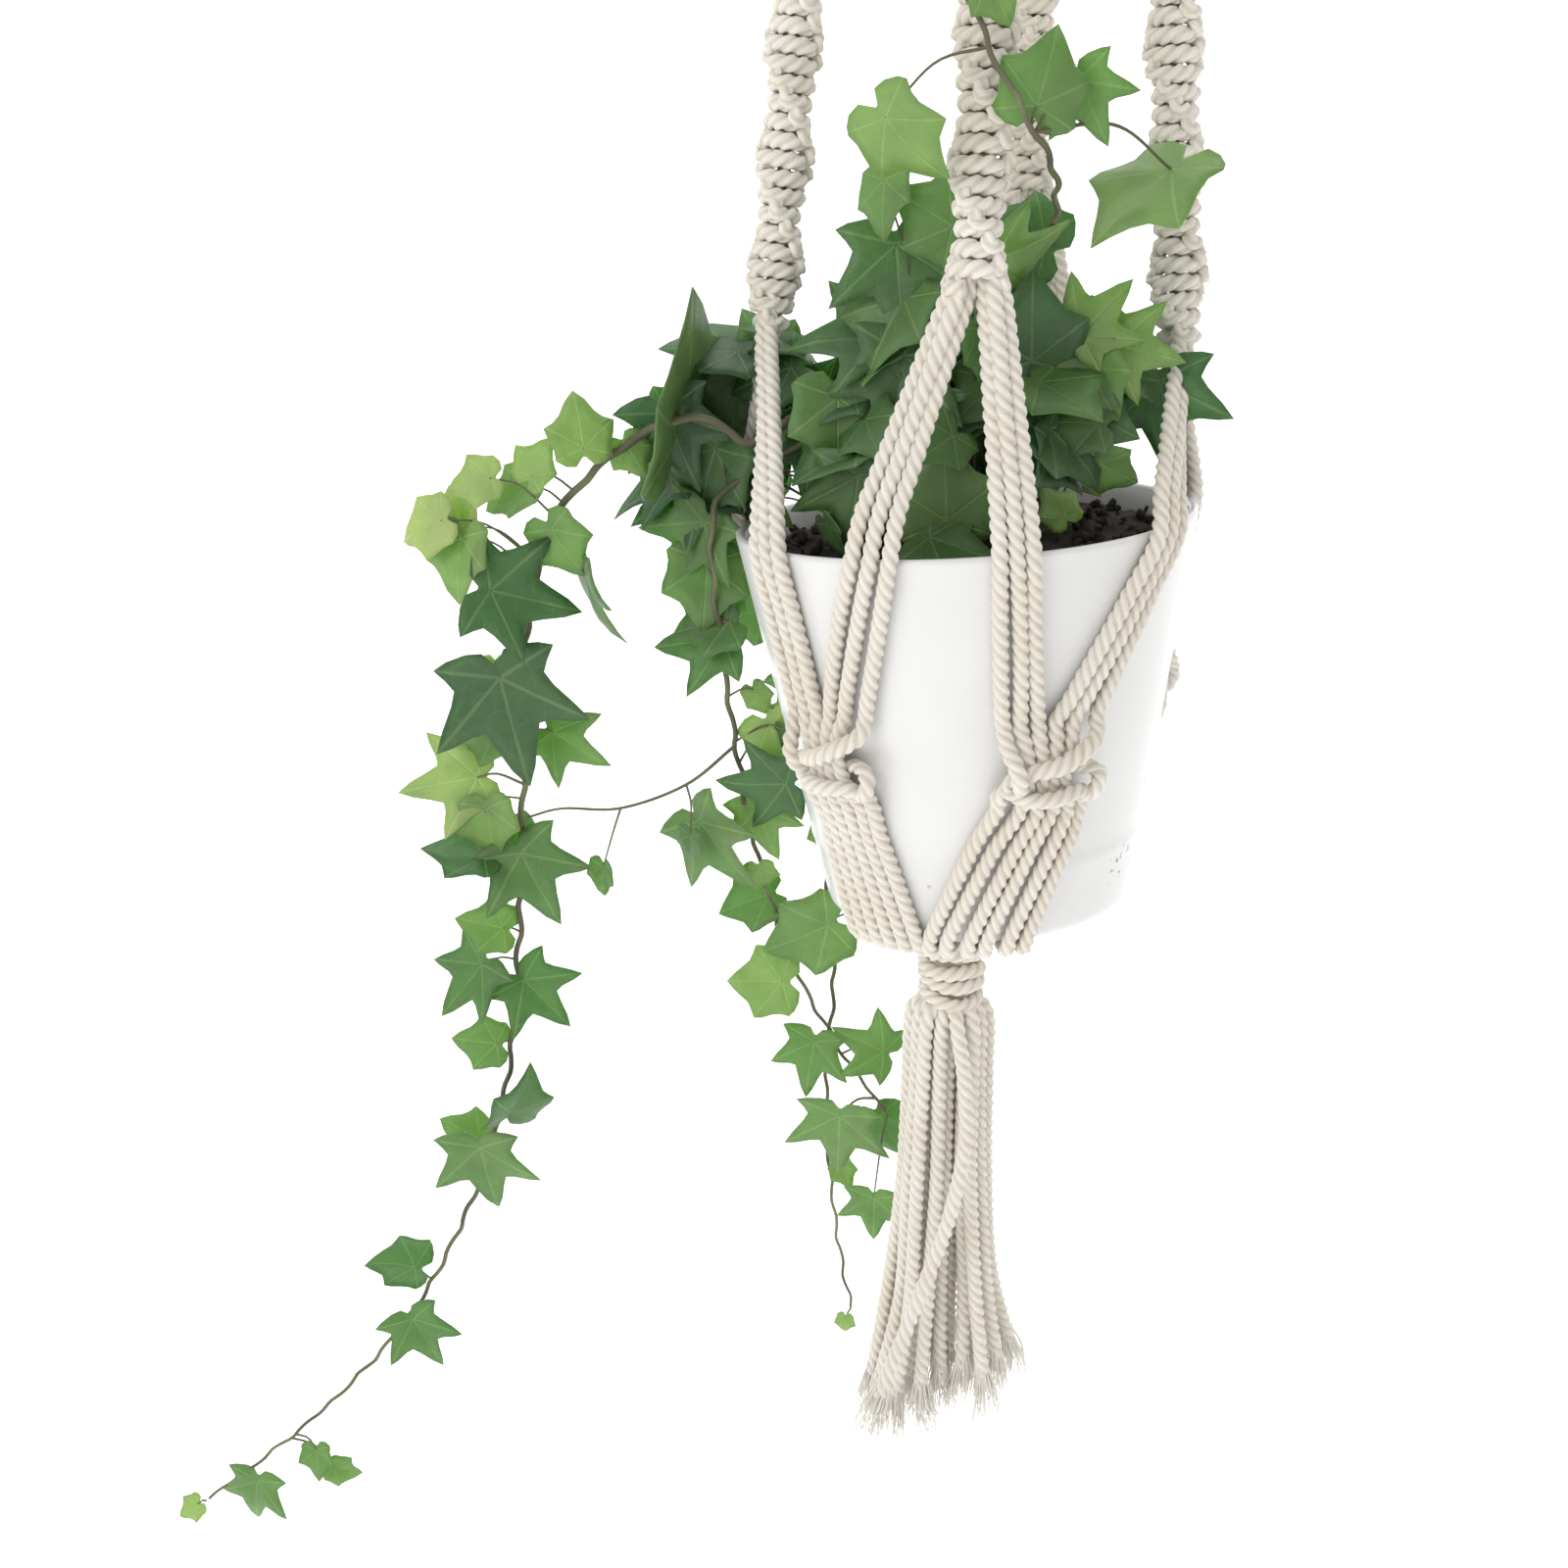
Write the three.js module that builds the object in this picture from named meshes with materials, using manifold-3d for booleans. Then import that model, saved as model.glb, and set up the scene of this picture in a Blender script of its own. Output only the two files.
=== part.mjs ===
// Hanging macrame planter: a rope sling of four knotted arms that hangs from a wooden ring and holds
// a glazed pot of ivy. Millimetres, +Z up. The origin is the hook's seat, inside the top of the ring.
import * as THREE from 'three';
import { mergeVertices } from 'three/addons/utils/BufferGeometryUtils.js';
import Module from 'manifold-3d';

const wasm = await Module();
wasm.setup();

// ---- Driving dimensions ----
const CORD = 5; // three-strand cotton rope
const GAP = 0.3; // left between pieces that touch
const ROPE_SIDES = 8;

const RING_RADIUS = 30; // to the middle of the wood
const RING_THICKNESS = 10;
const LOOP_COUNT = 6; // side by side on the ring, each a fold of two cords
const LOOP_PITCH_DEG = 10.3;
const LOOP_RADIUS = 4.6;
const LOOP_CLEARANCE = 1.8; // lets the sling swing on the round of the ring
const LOOP_CONVERGE = 0.3; // a loop's legs draw in to this share of its place on the ring
const LOOP_FOOT = 0.7; // legs end this share of their radius above the wrap
const LOOP_CORE = 1.5; // and the gathered core begins at this one

const CORE_RADIUS = 8; // twenty-four cords pulled tight
const WRAP_THICKNESS = 3.4; // wrapping cord, flattened by its own pull
const WRAP_TURNS = 6;
const WRAP_WAIST = 0.6; // thickness between two turns, against the middle of one
const TOP_WRAP_Z = [-104, -75];

const ARM_SPREAD = 9; // arm to hang axis, where the arms leave the top wrap
const KNOTTED_LENGTH = 290;
const KNOTTED_RADIUS = 7.6;
const BARE_HALF = { top: 3.2, opened: 6.2, bottom: 6.8 }; // half width of an arm's six bare cords
const BARE_OPENED_AT = 0.12;

const POT_BASE_Z = -780;
const POT_SHIFT_X = 6.7; // the pot sits a little off the hang axis
const POT_LEAN_DEG = -4.3; // and leans in its sling
const POT_HEIGHT = 113;
const POT_BASE_RADIUS = 45.4;
const POT_RIM_RADIUS = 65;
const POT_WALL = 3.2;
const POT_FLOOR = 5;
const SOIL_DEPTH_BELOW_RIM = 7;
const POT_SEGMENTS = 36;

const GATHER_X = -0.5;
const GATHER_WRAP_Z = [POT_BASE_Z - 41, POT_BASE_Z - 12];

const TASSEL_TOP_Z = POT_BASE_Z - 43.5;
const TASSEL_MIDDLE_Z = POT_BASE_Z - 183; // cut end of a strand in the middle
const TASSEL_CUT_SLOPE = 0.36; // the cut runs lower on the left
const TASSEL_PITCH = 4.95; // strands at the top
const TASSEL_SPLAY = 1.85; // spread at the ends, against the top
const TASSEL_FLARE = 2.2; // how late the spread comes
const TASSEL_STRANDS = 24;
const CROSSING_STRAND = 13; // one strand has fallen across the front of the others
// Its route: share of the way down, then x and y from the middle of the tassel.
const CROSSING_ROUTE = [
  [0, 2.5, -12.9], [0.12, 5, -17.2], [0.25, 5.8, -19.2], [0.42, 2.4, -20.8], [0.58, -3.6, -22.8],
  [0.75, -10.5, -25.4], [0.9, -18, -29],
];
const STRAND_RADIUS = 2.35;

// Where each arm's knotting ends and its six cords part: left, front, right and back.
const ARMS = {
  left: { foot: [-56.6, 0, POT_BASE_Z + 165], side: [0, 1, 0] },
  front: { foot: [-1.2, -55, POT_BASE_Z + 176], side: [1, 0, 0] },
  right: { foot: [54.5, 0, POT_BASE_Z + 162], side: [0, 1, 0] },
  back: { foot: [14.7, 55, POT_BASE_Z + 198], side: [1, 0, 0] },
};

// The four junction knots on the pot's side, by azimuth round the pot and height above its base.
// below: azimuth at which the knot's six cords turn under the base. core: their place in the gather.
const KNOTS = {
  front_left: { azimuth: -131, height: 56, below: -125, core: -145 },
  front_right: { azimuth: -71, height: 54, below: -91.5, core: -55 },
  back_right: { azimuth: 28, height: 56, below: 36, core: 35 },
  back_left: { azimuth: 122, height: 57, below: 128, core: 125 },
};

// The eight bands of three cords: arm, end of that arm's side axis, knot, azimuths at rim and knot.
const BANDS = [
  { name: 'band_left_to_front', arm: 'left', end: -1, knot: 'front_left', rim: -140, arrive: -139 },
  { name: 'band_front_to_left', arm: 'front', end: -1, knot: 'front_left', rim: -110.9, arrive: -125 },
  { name: 'band_front_to_right', arm: 'front', end: 1, knot: 'front_right', rim: -79, arrive: -75 },
  { name: 'band_right_to_front', arm: 'right', end: -1, knot: 'front_right', rim: -39, arrive: -62 },
  { name: 'band_right_to_back', arm: 'right', end: 1, knot: 'back_right', rim: 14, arrive: 23 },
  { name: 'band_back_to_right', arm: 'back', end: 1, knot: 'back_right', rim: 57, arrive: 35 },
  { name: 'band_back_to_left', arm: 'back', end: -1, knot: 'back_left', rim: 96, arrive: 115 },
  { name: 'band_left_to_back', arm: 'left', end: 1, knot: 'back_left', rim: 164, arrive: 129 },
];

// Stems of ivy: points from the leaf mass over the rim and down, measured from the pot's base level.
const STEM_RADIUS = 1.2;
const STEMS = {
  ivy_stem_long: [
    [-50, -8, 140], [-62, -10, 133], [-76, -9, 140], [-98, -5, 131], [-120, -2, 108], [-131, 0, 70],
    [-134, 0, 18], [-138, 0, -30], [-145, 0, -80], [-160, 0, -125], [-185, 0, -172], [-222, 0, -216],
    [-268, 0, -258],
  ],
  ivy_stem_side: [
    [-47, 0, 132], [-62, -1, 124], [-73, -2, 112], [-73, 4, 80], [-69, 11, 40], [-64, 17, 5],
    [-54, 22, -35], [-38, 26, -70], [-20, 28, -98],
  ],
  ivy_stem_back: [
    [-38, 28, 134], [-50, 40, 126], [-61, 49, 112], [-60, 50, 80], [-56, 50, 40], [-46, 48, 0],
    [-40, 44, -50], [-42, 42, -100], [-38, 40, -150], [-32, 40, -186],
  ],
  ivy_stem_top: [
    [18, -14, 184], [18, -34, 195], [16, -54, 203], [10.5, -67, 211], [4.6, -69, 220], [-0.6, -68, 229],
    [-4.9, -67, 238], [-8, -66, 246],
  ],
};
const FOLIAGE_RADIUS = [44, 44, 34];
const FOLIAGE_CENTRE = [-4, 2, 148];

// ---- Materials ----
const finish = (color, roughness) => new THREE.MeshStandardMaterial({ color, roughness, metalness: 0 });
const COTTON = finish('#ded6c6', 0.95);
const WOOD = finish('#c79f68', 0.6);
const GLAZE = finish('#f1efec', 0.3);
const SOIL = finish('#3b3029', 1);
const LEAF = finish('#4f7f3f', 0.55);

// ---- Helpers ----
const radians = THREE.MathUtils.degToRad;
const vector = (list) => new THREE.Vector3(...list);
const aboveBase = ([x, y, z]) => new THREE.Vector3(x, y, POT_BASE_Z + z);

const potPlace = new THREE.Matrix4()
  .makeRotationY(radians(POT_LEAN_DEG))
  .setPosition(POT_SHIFT_X, 0, POT_BASE_Z);

const wallRadius = (height) => POT_BASE_RADIUS + ((POT_RIM_RADIUS - POT_BASE_RADIUS) * height) / POT_HEIGHT;

// A point at a radius and azimuth round the pot's own leaning axis.
function roundPot(radius, azimuth, height) {
  const angle = radians(azimuth);
  return new THREE.Vector3(radius * Math.cos(angle), radius * Math.sin(angle), height).applyMatrix4(potPlace);
}

const onWall = (azimuth, height, standoff) => roundPot(wallRadius(height) + standoff, azimuth, height);

const sideways = (azimuth) => new THREE.Vector3(-Math.sin(radians(azimuth)), Math.cos(radians(azimuth)), 0);

const polygon = (radius, sides) => new THREE.Shape(
  Array.from({ length: sides }, (_, i) => {
    const angle = (2 * Math.PI * i) / sides;
    return new THREE.Vector2(radius * Math.cos(angle), radius * Math.sin(angle));
  }),
);

const curve = (points) => new THREE.CatmullRomCurve3(points, false, 'centripetal');

const tube = (points, radius, steps) => new THREE.ExtrudeGeometry(
  polygon(radius, ROPE_SIDES),
  { steps, bevelEnabled: false, extrudePath: curve(points) },
);

// A closed flat or round bundle along a curve. size(t) is [half width, half depth] from start to end,
// and across(t) is the way its width lies.
function bundle(path, size, across, steps) {
  const geometry = new THREE.CylinderGeometry(1, 1, 1, ROPE_SIDES, steps);
  const place = geometry.attributes.position;
  for (let i = 0; i < place.count; i += 1) {
    const t = THREE.MathUtils.clamp(0.5 - place.getY(i), 0, 1);
    const along = path.getTangentAt(t);
    const depthWay = new THREE.Vector3().crossVectors(along, across(t)).normalize();
    const widthWay = new THREE.Vector3().crossVectors(depthWay, along);
    const [halfWidth, halfDepth] = size(t);
    const point = path.getPointAt(t)
      .addScaledVector(widthWay, halfWidth * place.getX(i))
      .addScaledVector(depthWay, halfDepth * place.getZ(i));
    place.setXYZ(i, point.x, point.y, point.z);
  }
  return geometry;
}

function toSolid(geometry) {
  const bare = geometry.clone();
  bare.deleteAttribute('normal');
  bare.deleteAttribute('uv');
  const merged = mergeVertices(bare, 1e-4);
  return new wasm.Manifold(new wasm.Mesh({
    numProp: 3,
    vertProperties: new Float32Array(merged.attributes.position.array),
    triVerts: new Uint32Array(merged.index.array),
  }));
}

function toGeometry(solid) {
  const { vertProperties, triVerts } = solid.getMesh();
  const geometry = new THREE.BufferGeometry();
  geometry.setAttribute('position', new THREE.BufferAttribute(vertProperties, 3));
  geometry.setIndex(new THREE.BufferAttribute(triVerts, 1));
  geometry.computeVertexNormals();
  return geometry;
}

const join = (geometries) => toGeometry(geometries.map(toSolid).reduce((all, next) => all.add(next)));
const cut = (geometry, tools) => toGeometry(
  tools.map(toSolid).reduce((rest, tool) => rest.subtract(tool), toSolid(geometry)),
);

// Blends between values set at places along 0 to 1.
function steady(stops) {
  return (t) => {
    const next = Math.max(1, stops.findIndex(([place]) => place >= t));
    const [from, low] = stops[next - 1];
    const [to, high] = stops[next];
    const share = THREE.MathUtils.clamp((t - from) / (to - from), 0, 1);
    return low.map((value, i) => value + (high[i] - value) * share);
  };
}

const planter = new THREE.Group();
function add(name, geometry, material) {
  const mesh = new THREE.Mesh(geometry, material);
  mesh.name = name;
  planter.add(mesh);
  return mesh;
}

// ---- Ring and the cords folded over it ----
const ringCentre = new THREE.Vector3(0, 0, RING_THICKNESS / 2 - RING_RADIUS);
const ring = add('hanging_ring', new THREE.TorusGeometry(RING_RADIUS, RING_THICKNESS / 2, 10, 32), WOOD);
ring.rotation.x = Math.PI / 2;
ring.position.copy(ringCentre);

function ringLoop(index) {
  const angle = radians((index - (LOOP_COUNT - 1) / 2) * LOOP_PITCH_DEG);
  const outward = new THREE.Vector3(Math.sin(angle), 0, -Math.cos(angle));
  const bar = ringCentre.clone().addScaledVector(outward, RING_RADIUS);
  const reach = RING_THICKNESS / 2 + LOOP_CLEARANCE + LOOP_RADIUS;
  const over = [-90, -45, 0, 45, 90].map((degrees) => bar.clone()
    .addScaledVector(outward, -reach * Math.cos(radians(degrees)))
    .add(new THREE.Vector3(0, reach * Math.sin(radians(degrees)), 0)));
  const leg = (way) => new THREE.Vector3(
    bar.x * LOOP_CONVERGE,
    way * (CORE_RADIUS - LOOP_RADIUS),
    TOP_WRAP_Z[1] + LOOP_RADIUS * LOOP_FOOT,
  );
  return tube([leg(-1), ...over, leg(1)], LOOP_RADIUS, 10);
}

function roundCore(top, bottom) {
  return new THREE.CylinderGeometry(CORE_RADIUS, CORE_RADIUS, top - bottom, 16)
    .rotateX(Math.PI / 2)
    .translate(0, 0, (top + bottom) / 2);
}

add('ring_loops', join([
  ...Array.from({ length: LOOP_COUNT }, (_, i) => ringLoop(i)),
  roundCore(TOP_WRAP_Z[1] + LOOP_RADIUS * LOOP_CORE, TOP_WRAP_Z[0]),
]), COTTON);

// ---- Wrapping knots: a cord wound round the gathered strands ----
function wrap([bottom, top]) {
  const inner = CORE_RADIUS + GAP;
  const turnHeight = (top - bottom) / WRAP_TURNS;
  const profile = [new THREE.Vector2(inner, bottom)];
  for (let turn = 0; turn < WRAP_TURNS; turn += 1) {
    const base = bottom + turn * turnHeight;
    profile.push(new THREE.Vector2(inner + WRAP_THICKNESS * WRAP_WAIST, base));
    profile.push(new THREE.Vector2(inner + WRAP_THICKNESS, base + turnHeight * 0.5));
  }
  profile.push(new THREE.Vector2(inner + WRAP_THICKNESS * WRAP_WAIST, top));
  profile.push(new THREE.Vector2(inner, top));
  profile.push(profile[0].clone());
  return new THREE.LatheGeometry(profile, 16).rotateX(Math.PI / 2);
}

add('top_wrap', wrap(TOP_WRAP_Z), COTTON);
add('gather_wrap', wrap(GATHER_WRAP_Z), COTTON).position.x = GATHER_X;

// ---- The four arms: bare cords from the top wrap, then the spiral of half knots ----
const ends = {};
for (const [side, arm] of Object.entries(ARMS)) {
  const foot = vector(arm.foot);
  const neck = new THREE.Vector3(foot.x, foot.y, 0).setLength(ARM_SPREAD).setZ(TOP_WRAP_Z[0] - GAP);
  const upward = neck.clone().sub(foot).normalize();
  const shoulder = foot.clone().addScaledVector(upward, KNOTTED_LENGTH);
  const across = () => vector(arm.side);
  const bareSize = steady([
    [0, [BARE_HALF.top, BARE_HALF.top]],
    [BARE_OPENED_AT, [BARE_HALF.opened, BARE_HALF.opened]],
    [1, [BARE_HALF.bottom, BARE_HALF.bottom]],
  ]);
  const barePath = new THREE.LineCurve3(neck, shoulder.clone().addScaledVector(upward, GAP));
  add(`arm_${side}_bare_cords`, bundle(barePath, bareSize, across, 8), COTTON);
  const knotting = (grow) => bundle(
    new THREE.LineCurve3(shoulder, foot.clone().addScaledVector(upward, -grow)),
    () => [KNOTTED_RADIUS + grow, KNOTTED_RADIUS + grow],
    across,
    2,
  );
  add(`arm_${side}_knotting`, knotting(0), COTTON);
  ends[side] = { foot, cutter: knotting(GAP) };
}

// ---- Junction knots on the pot's side ----
const KNOT_HALF = [12, 9.5, 4.8]; // along the wall, up it and out from it
function knotSolid({ azimuth, height }, grow) {
  const centre = onWall(azimuth, height, KNOT_HALF[2] + GAP);
  const up = onWall(azimuth, height + 1, 0).sub(onWall(azimuth, height, 0)).normalize();
  const out = new THREE.Vector3().crossVectors(sideways(azimuth), up).normalize();
  const turn = new THREE.Matrix4().makeBasis(sideways(azimuth), up, out).setPosition(centre);
  return new THREE.SphereGeometry(1, 12, 8)
    .scale(...KNOT_HALF.map((half) => half + grow))
    .applyMatrix4(turn);
}
for (const [name, knot] of Object.entries(KNOTS)) add(`knot_${name}`, knotSolid(knot, 0), COTTON);

// ---- Bands of three cords, from each arm over the rim to the knots ----
const BAND_HALF = [7.4, 2.45];
const BUNCHED_HALF = [4.3, 4.3];
const WALL_STANDOFF = 3.2;
const REVERSED_ARMS = ['left', 'back']; // their side axis runs against rising azimuth
for (const band of BANDS) {
  const { foot, cutter } = ends[band.arm];
  const knot = KNOTS[band.knot];
  const start = foot.clone()
    .addScaledVector(vector(ARMS[band.arm].side), band.end * (BUNCHED_HALF[0] + GAP));
  const down = [1, 0.7, 0.35, 0].map((share) => onWall(
    band.arrive + (band.rim - band.arrive) * share,
    knot.height + (POT_HEIGHT - knot.height) * share,
    WALL_STANDOFF,
  ));
  const path = curve([start, ...down]);
  const rimAt = start.distanceTo(down[0]) / path.getLength();
  const size = steady([[0, BUNCHED_HALF], [rimAt, BAND_HALF], [1, BAND_HALF]]);
  const startSide = vector(ARMS[band.arm].side).multiplyScalar(REVERSED_ARMS.includes(band.arm) ? -1 : 1);
  const across = (t) => (t < rimAt
    ? startSide.clone().lerp(sideways(band.rim), t / rimAt)
    : sideways(THREE.MathUtils.mapLinear(t, rimAt, 1, band.rim, band.arrive)));
  add(band.name, cut(bundle(path, size, across, 9), [cutter, knotSolid(knot, GAP)]), COTTON);
}

// ---- Six cords from each knot, under the base and down through the gather wrap ----
const FAN_HALF = [11.8, BAND_HALF[1]]; // six cords side by side on the wall
const CORE_HALF = [2.9, 2.9]; // and drawn together in the gather
const BELOW_SIZES = [
  [0, [10, BAND_HALF[1]]], [0.35, FAN_HALF], [0.5, FAN_HALF],
  [0.7, [5.5, 3]], [0.76, CORE_HALF], [1, CORE_HALF],
];
for (const [name, knot] of Object.entries(KNOTS)) {
  const edge = roundPot(POT_BASE_RADIUS + 0.5, knot.below, -3);
  const coreAt = (radius, z) => new THREE.Vector3(radius, 0, z)
    .applyAxisAngle(new THREE.Vector3(0, 0, 1), radians(knot.core))
    .add(new THREE.Vector3(GATHER_X, 0, 0));
  const inner = coreAt(11, POT_BASE_Z - 5);
  const path = curve([
    onWall(knot.azimuth, knot.height - 2, WALL_STANDOFF),
    onWall((knot.azimuth + knot.below) / 2, knot.height / 2, WALL_STANDOFF),
    onWall(knot.below, 3, WALL_STANDOFF),
    edge,
    edge.clone().lerp(inner, 0.33),
    edge.clone().lerp(inner, 0.67),
    inner,
    coreAt(5.2, POT_BASE_Z - 10),
    coreAt(4.4, POT_BASE_Z - 17),
    coreAt(4.4, TASSEL_TOP_Z + 2 * GAP),
  ]);
  const turn = steady([[0, [knot.azimuth]], [0.4, [knot.below]], [0.7, [knot.core]], [1, [knot.core]]]);
  const band = bundle(path, steady(BELOW_SIZES), (t) => sideways(turn(t)[0]), 18);
  add(`band_${name}_below`, cut(band, [knotSolid(knot, GAP)]), COTTON);
}

// ---- Tassel: the same twenty-four cords, cut to hang below the gather ----
function packedPlaces(count, pitch) {
  const places = [];
  for (let row = -5; row <= 5; row += 1) {
    for (let column = -5; column <= 5; column += 1) {
      const x = (column + 0.5 + (row % 2 ? 0.5 : 0)) * pitch;
      places.push(new THREE.Vector2(x, row * pitch * Math.sin(Math.PI / 3)));
    }
  }
  return places.sort((a, b) => a.length() - b.length() || a.angle() - b.angle()).slice(0, count);
}

packedPlaces(TASSEL_STRANDS, TASSEL_PITCH).forEach((place, i) => {
  const splayed = [0, 0.15, 0.4, 0.7, 1].map((share) => {
    const spread = 1 + (TASSEL_SPLAY - 1) * share ** TASSEL_FLARE;
    return [share, place.x * spread, place.y * spread];
  });
  const route = i === CROSSING_STRAND ? CROSSING_ROUTE : splayed;
  const hang = TASSEL_MIDDLE_Z + TASSEL_CUT_SLOPE * place.x * TASSEL_SPLAY - TASSEL_TOP_Z;
  const points = route.map(
    ([share, x, y]) => new THREE.Vector3(GATHER_X + x, y, TASSEL_TOP_Z + hang * share),
  );
  add(`tassel_strand_${String(i + 1).padStart(2, '0')}`, tube(points, STRAND_RADIUS, 10), COTTON);
});

// ---- Pot, soil and ivy, turned with the pot's lean ----
function placeWithPot(mesh) {
  mesh.position.set(POT_SHIFT_X, 0, POT_BASE_Z);
  mesh.rotation.y = radians(POT_LEAN_DEG);
}
const lathe = (points) => new THREE.LatheGeometry(
  points.map(([radius, height]) => new THREE.Vector2(radius, height)),
  POT_SEGMENTS,
).rotateX(Math.PI / 2);

const soilTop = POT_HEIGHT - SOIL_DEPTH_BELOW_RIM;
placeWithPot(add('pot', lathe([
  [0, 0],
  [POT_BASE_RADIUS - 2, 0],
  [wallRadius(2), 2],
  [wallRadius(POT_HEIGHT - 1), POT_HEIGHT - 1],
  [POT_RIM_RADIUS - 1, POT_HEIGHT],
  [POT_RIM_RADIUS - POT_WALL + 0.8, POT_HEIGHT],
  [POT_RIM_RADIUS - POT_WALL, POT_HEIGHT - 1],
  [wallRadius(POT_FLOOR) - POT_WALL, POT_FLOOR],
  [0, POT_FLOOR],
]), GLAZE));
placeWithPot(add('potting_soil', lathe([
  [0, POT_FLOOR + GAP],
  [wallRadius(POT_FLOOR) - POT_WALL - GAP, POT_FLOOR + GAP],
  [wallRadius(soilTop) - POT_WALL - GAP, soilTop - 2],
  [POT_BASE_RADIUS * 0.7, soilTop + 1],
  [0, soilTop + 2],
]), SOIL));

const foliage = new THREE.SphereGeometry(1, 14, 9).rotateX(Math.PI / 2);
add('ivy_foliage', foliage.scale(...FOLIAGE_RADIUS).translate(...aboveBase(FOLIAGE_CENTRE).toArray()), LEAF);
for (const [name, points] of Object.entries(STEMS)) {
  add(name, tube(points.map(aboveBase), STEM_RADIUS, points.length + 5), LEAF);
}

export default planter;
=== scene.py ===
# %% [markdown]
# # Hanging macrame planter
# A rope sling holds a white pot of ivy. The sling is twelve long cotton cords folded over a wooden ring,
# so twenty-four strands hang from it. Six strands make each arm, the lower part of each arm is a spiral
# of half knots, and below it the strands part, meet their neighbours in four junction knots on the side
# of the pot, run under its base and end in a wrapped knot and a tassel.
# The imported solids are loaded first, as a fixed frame. The sizes and places below are the same as theirs.

# %% Load the frame
import math
import random

import bmesh
import bpy
import numpy as np
from mathutils import Euler, Matrix, Vector, noise


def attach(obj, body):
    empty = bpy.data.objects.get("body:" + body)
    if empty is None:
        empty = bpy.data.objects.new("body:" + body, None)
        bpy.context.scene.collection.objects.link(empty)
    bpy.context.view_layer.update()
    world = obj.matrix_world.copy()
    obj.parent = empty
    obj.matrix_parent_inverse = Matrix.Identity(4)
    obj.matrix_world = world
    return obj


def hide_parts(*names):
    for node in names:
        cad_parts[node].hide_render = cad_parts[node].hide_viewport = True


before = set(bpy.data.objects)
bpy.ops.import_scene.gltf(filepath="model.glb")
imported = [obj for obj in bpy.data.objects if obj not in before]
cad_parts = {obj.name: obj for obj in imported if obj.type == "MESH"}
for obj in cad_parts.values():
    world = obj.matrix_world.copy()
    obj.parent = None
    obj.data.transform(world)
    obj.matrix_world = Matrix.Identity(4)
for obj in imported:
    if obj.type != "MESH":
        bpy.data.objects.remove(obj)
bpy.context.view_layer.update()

# %% [markdown]
# Everything is planned in millimetres and becomes metres only when a mesh is made. The pot's base is the
# level that the sling's heights are counted from. It leans a little in its net, so a small matrix takes a
# place on the pot, given by radius, azimuth and height, to the frame.

# %% Units and the pot's own axes
MM = 0.001
POT_BASE_Z = -780.0
POT_SHIFT_X = 6.7
POT_LEAN = math.radians(-4.3)
POT_HEIGHT = 113.0
POT_BASE_RADIUS = 45.4
POT_RIM_RADIUS = 65.0
pot_place = Matrix.Translation((POT_SHIFT_X, 0, POT_BASE_Z)) @ Matrix.Rotation(POT_LEAN, 4, "Y")


def wall_radius(height):
    return POT_BASE_RADIUS + (POT_RIM_RADIUS - POT_BASE_RADIUS) * height / POT_HEIGHT


def round_pot(radius, azimuth, height):
    angle = math.radians(azimuth)
    return pot_place @ Vector((radius * math.cos(angle), radius * math.sin(angle), height))


def on_wall(azimuth, height, standoff):
    return round_pot(wall_radius(height) + standoff, azimuth, height)


def sideways(azimuth):
    return Vector((-math.sin(math.radians(azimuth)), math.cos(math.radians(azimuth)), 0))


def above_base(x, y, z):
    return Vector((x, y, POT_BASE_Z + z))


def mix(low, high, share):
    return low + (high - low) * share


# %% [markdown]
# The camera stands a little under half a metre from the pot and looks down at it, as a person does at a
# planter that hangs near a window. It is made first, because the room that free cords may take is
# measured against its view.

# %% Camera
camera_data = bpy.data.cameras.new("camera")
camera_data.lens = 38.25
camera_data.sensor_width = 36
camera = bpy.data.objects.new("camera", camera_data)
camera.location = above_base(-7.3, -474.5, 194.1) * MM
camera.rotation_euler = (math.radians(71.0), 0, math.radians(5.48))
bpy.context.scene.collection.objects.link(camera)
bpy.context.scene.camera = camera

# %% [markdown]
# ## Making rope
# The rope is three plies twisted together. It could be a smooth tube with a striped bump, but the grooves
# between plies break the outline of real rope, so they are modelled. A curve is swept with a three-lobed
# section, and the tilt of its points turns the section once in every lay length. Curve tilt does what a
# rope walk does, so the plies come out right in bends as well.
# The swept curve becomes a mesh, and each vertex then gets its place on the rope as attributes: how deep it
# lies in a groove, where it is round and along the rope for the fibres, and a tone for its strand.

# %% Rope section and smooth routes
PLIES = 3
LOBE_POINTS = 5
LOBE_SHARE = 0.53  # radius of a ply, against the rope's
LAY = 2.15  # one turn of the plies, in rope diameters
rng = random.Random(7)


def ply_section():
    """The outline of three round plies side by side: x, y and groove depth for a rope of radius 1."""
    points = []
    for ply in range(PLIES):
        middle = 2 * math.pi * ply / PLIES
        for step in range(LOBE_POINTS):
            swing = math.radians(mix(-82, 82, step / (LOBE_POINTS - 1)))
            x = (1 - LOBE_SHARE) * math.cos(middle) + LOBE_SHARE * math.cos(middle + swing)
            y = (1 - LOBE_SHARE) * math.sin(middle) + LOBE_SHARE * math.sin(middle + swing)
            points.append((x, y, 1 - math.cos(swing)))
    return points


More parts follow.
